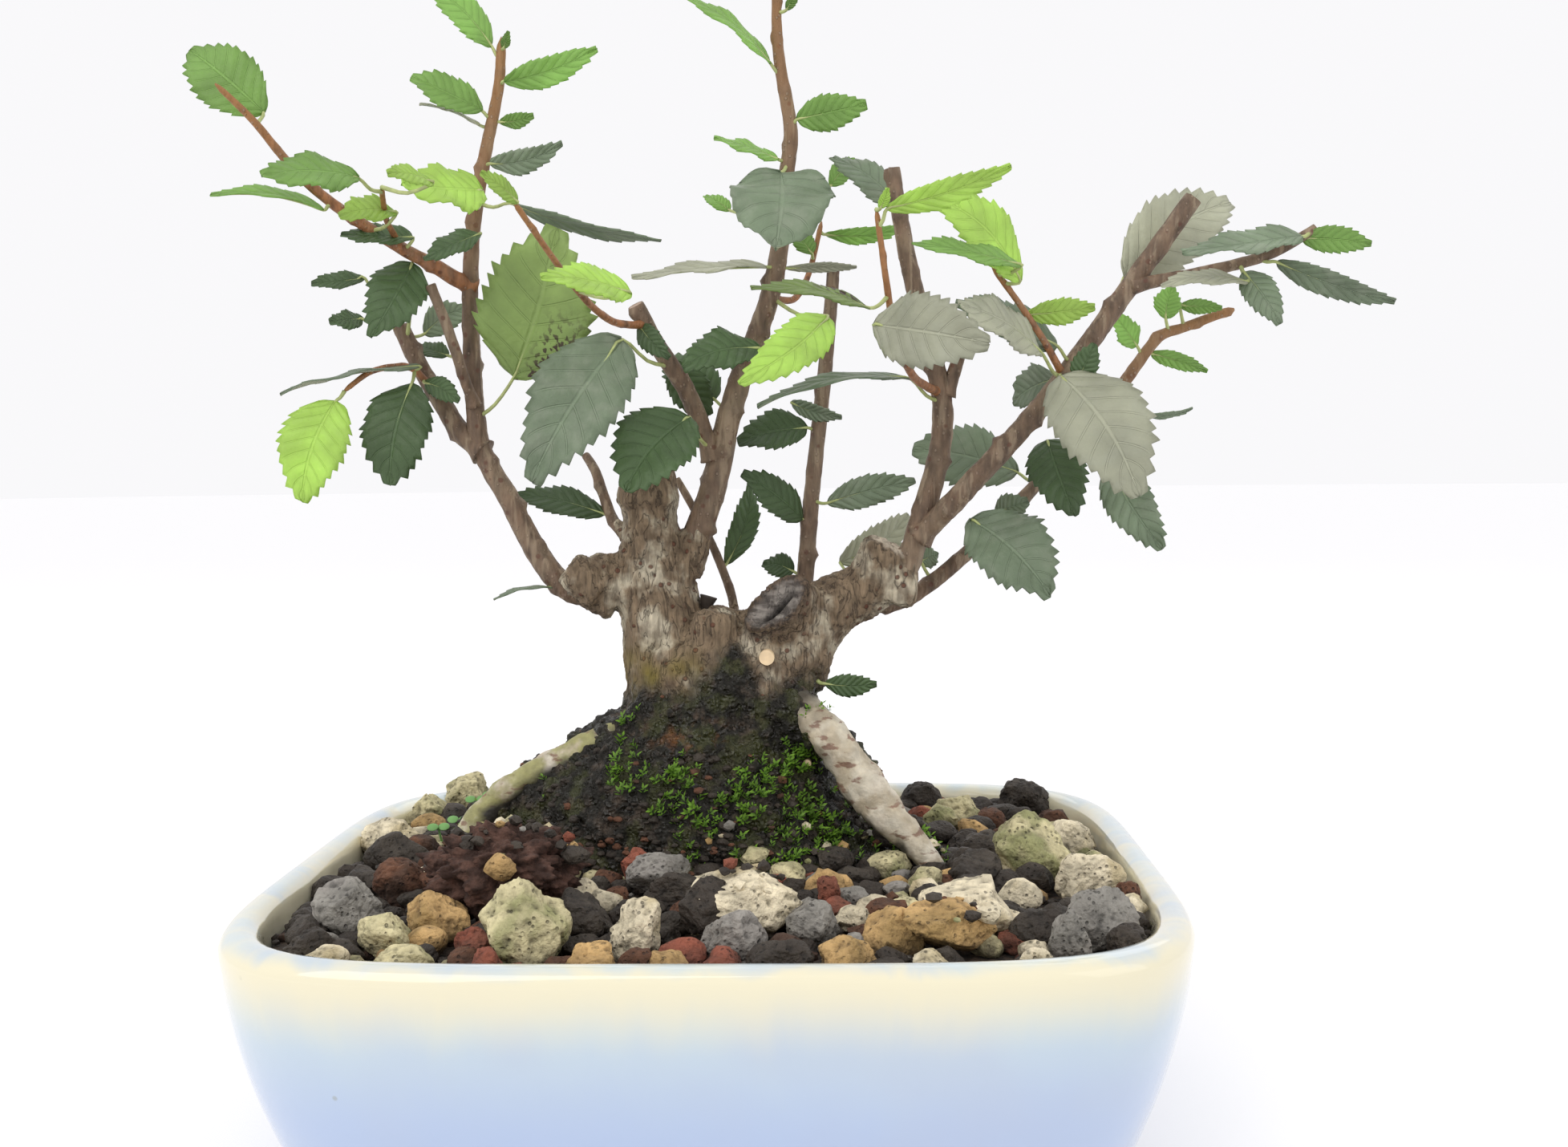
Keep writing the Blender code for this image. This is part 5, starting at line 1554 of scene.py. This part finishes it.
class BONSAI_OT_small_growth(bpy.types.Operator):
    """Add the cut twig ends, the broken stub, the hanging rootlet and the seedlings"""

    bl_idname = "bonsai.small_growth"
    bl_label = "Small growth"

    def execute(self, context):
        tree = surface_of("trunk")
        sawn = plain_finish("fresh_cut", (0.86, 0.66, 0.42), 0.7)
        for name, x, z, radius, stand in (("cut_dot", 6.8, 32, 1.15, 0.5), ("cut_dot_low", 12.8, 15.8, 0.6, 0.9)):
            hit = front_point(tree, x, z)
            bm = bmesh.new()
            line = [(*(hit + Vector((0, offset, 0)) * MM), radius * MM) for offset in (1.5, 0, -stand - 0.6)]
            grow_tube(bm, [Vector(row) for row in line], 20, lambda i, row, way, angle: 1 + 0.05 * noise.noise(way * 3))
            bmesh.ops.recalc_face_normals(bm, faces=bm.faces)
            new_piece(name, bm, [sawn], sharp=40)
        dark = plain_finish("broken_wood", (0.035, 0.025, 0.018), 0.8)
        bm = bmesh.new()
        rows = [(-2.6, -1, 36, 0.9), (-2.6, -1, 38, 0.75), (-2.7, -1, 39.6, 1.0), (-2.4, -1, 40.8, 1.4)]
        line = even_line([Vector((*plant_point(row), row[3] * MM)) for row in rows], 0.3 * MM)
        grow_tube(bm, line, 16, lambda i, row, way, angle: 1 + 0.3 * noise.noise((row.xyz / MM + way * 2) * 0.8))
        bmesh.ops.recalc_face_normals(bm, faces=bm.faces)
        new_piece("broken_stub", bm, [dark])
        rootlet = plain_finish("rootlet", (0.30, 0.27, 0.12), 0.7)
        bm = bmesh.new()
        rows = [(-36.5, -10, 7.5, 0.55), (-37.4, -11.5, 5.5, 0.55), (-37.6, -12, 2.5, 0.5), (-37.2, -12, -0.5, 0.5)]
        line = even_line([Vector((*plant_point(row), row[3] * MM)) for row in rows], 0.4 * MM)
        grow_tube(bm, line, 10, lambda i, row, way, angle: 1 + 0.15 * noise.noise(row.xyz / MM))
        bmesh.ops.recalc_face_normals(bm, faces=bm.faces)
        new_piece("hanging_rootlet", bm, [rootlet])
        self.seedlings()
        return {"FINISHED"}

    def seedlings(self):
        green = Finish("seedling", 0.5)
        green.colour(green.tint((0.16, 0.36, 0.10), green.noise(0.5, 3), 0.8, 1.2))
        bm = bmesh.new()
        pick = random.Random(3)
        for x, y, height in ((-44, 22, 4.5), (-41, 24, 3.5), (-47, 20, 3.5), (-44, 44, 5), (-46, 41, 4), (-40, 30, 3.5)):
            foot = POT_MIDDLE + Vector((x, y, 0)) * MM
            foot.z = SOIL_TOP - 1 * MM
            lean = Vector((pick.uniform(-0.3, 0.3), pick.uniform(-0.4, 0), 1)).normalized()
            top = foot + lean * (height * 0.6 + 2) * MM
            grow_tube(bm, [Vector((*foot, 0.25 * MM)), Vector((*((foot + top) / 2), 0.22 * MM)), Vector((*top, 0.18 * MM))],
                      6, lambda i, row, way, angle: 1.0)
            for side in (-1, 1):
                turn = Quaternion((0, 0, 1), pick.uniform(-0.6, 0.6))
                place = top + turn @ Vector((side * 0.95, 0, 0.15)) * MM
                tilt = Quaternion((1, 0, 0), 0.7).to_matrix().to_4x4()
                spread = Matrix.Translation(place) @ tilt @ Matrix.Diagonal((0.95 * MM, 0.8 * MM, 0.14 * MM, 1))
                bmesh.ops.create_uvsphere(bm, u_segments=14, v_segments=8, radius=1.0, matrix=spread)
        bmesh.ops.recalc_face_normals(bm, faces=bm.faces)
        new_piece("seedlings", bm, [green.material])


# ================================================================ stage
CAMERA_FROM_POT = Vector((0.0181, -0.2828, 0.0967))
CAMERA_TURN = (0.030, -0.0604, -0.010)


class BONSAI_OT_stage(bpy.types.Operator):
    """Set the floor, the soft lights and the camera"""

    bl_idname = "bonsai.stage"
    bl_label = "Stage"

    def execute(self, context):
        stage = context.scene.bonsai_stage
        self.floor(context, stage)
        self.camera(context, stage)
        self.lights(context, stage)
        context.scene.view_settings.view_transform = "Standard"
        return {"FINISHED"}

    def floor(self, context, stage):
        bm = bmesh.new()
        bmesh.ops.create_circle(bm, cap_ends=True, segments=96, radius=6.0)
        mesh = bpy.data.meshes.new("floor")
        bm.to_mesh(mesh)
        bm.free()
        cloth = Finish("white_cloth", 0.95)
        cloth.colour(cloth.tint(tuple(stage.floor), cloth.noise(0.02, 2), 0.985, 1.0))
        weave = cloth.add("ShaderNodeTexWave", wave_type="BANDS", bands_direction="DIAGONAL")
        weave.inputs["Scale"].default_value = 1.2
        cloth.tree.links.new(cloth.scaled((1, 1, 1)), weave.inputs["Vector"])
        cloth.bump(weave.outputs["Fac"], 0.00005, 0.2)
        cloth.shader.inputs["Emission Color"].default_value = (*stage.floor, 1.0)
        cloth.shader.inputs["Emission Strength"].default_value = stage.glow
        mesh.materials.append(cloth.material)
        floor = bpy.data.objects.new("floor", mesh)
        context.scene.collection.objects.link(floor)

    def camera(self, context, stage):
        yaw, pitch, roll = CAMERA_TURN
        ahead = Vector((-math.sin(yaw) * math.cos(pitch), math.cos(yaw) * math.cos(pitch), math.sin(pitch)))
        right = Vector((math.cos(yaw), math.sin(yaw), 0))
        up = right.cross(ahead)
        turned_right = right * math.cos(roll) + up * math.sin(roll)
        turned_up = up * math.cos(roll) - right * math.sin(roll)
        data = bpy.data.cameras.new("camera")
        data.lens = stage.lens
        data.sensor_width = 36
        data.clip_start = 0.01
        camera = bpy.data.objects.new("camera", data)
        camera.matrix_world = Matrix((turned_right, turned_up, -ahead)).transposed().to_4x4()
        camera.matrix_world.translation = POT_MIDDLE + CAMERA_FROM_POT
        context.scene.collection.objects.link(camera)
        context.scene.camera = camera

    def lights(self, context, stage):
        world = bpy.data.worlds.new("room")
        world.use_nodes = True
        background = world.node_tree.nodes["Background"]
        background.inputs["Color"].default_value = (0.99, 0.985, 1.0, 1.0)
        background.inputs["Strength"].default_value = stage.sky
        context.scene.world = world
        for name, place, size, power in (
            ("key", (-0.45, -0.55, 0.75), 0.7, stage.key),
            ("fill", (0.75, -0.35, 0.45), 0.6, stage.key * 0.25),
            ("rim", (0.1, 0.7, 0.8), 0.8, stage.key * 0.4),
        ):
            data = bpy.data.lights.new(name, "AREA")
            data.color = (1.0, 0.965, 0.92)
            data.size = size
            data.energy = power
            light = bpy.data.objects.new(name, data)
            light.location = place
            light.rotation_euler = (Vector((0, 0, 0.06)) - Vector(place)).to_track_quat("-Z", "Y").to_euler()
            context.scene.collection.objects.link(light)


# ================================================================ panel and registration
OPERATORS = (
    BONSAI_OT_stage,
    BONSAI_OT_pot,
    BONSAI_OT_trunk,
    BONSAI_OT_roots,
    BONSAI_OT_stems,
    BONSAI_OT_leaves,
    BONSAI_OT_grit,
    BONSAI_OT_moss,
    BONSAI_OT_small_growth,
)


class BONSAI_PT_panel(bpy.types.Panel):
    """Buttons and settings for the bonsai"""

    bl_label = "Bonsai"
    bl_idname = "BONSAI_PT_panel"
    bl_space_type = "VIEW_3D"
    bl_region_type = "UI"
    bl_category = "Bonsai"

    def draw(self, context):
        for operator in OPERATORS:
            self.layout.operator(operator.bl_idname)
        for name, group in SETTINGS.items():
            box = self.layout.box()
            box.label(text=name.split("_")[1].title())
            for prop in group.__annotations__:
                box.prop(getattr(context.scene, name), prop)


def register():
    for group in SETTINGS.values():
        bpy.utils.register_class(group)
    for name, group in SETTINGS.items():
        setattr(bpy.types.Scene, name, PointerProperty(type=group))
    for item in (*OPERATORS, BONSAI_PT_panel):
        bpy.utils.register_class(item)


def unregister():
    for item in (BONSAI_PT_panel, *reversed(OPERATORS)):
        bpy.utils.unregister_class(item)
    for name, group in SETTINGS.items():
        delattr(bpy.types.Scene, name)
        bpy.utils.unregister_class(group)


def main():
    register()
    for operator in OPERATORS:
        getattr(bpy.ops.bonsai, operator.bl_idname.split(".")[1])()


if __name__ == "__main__":
    main()
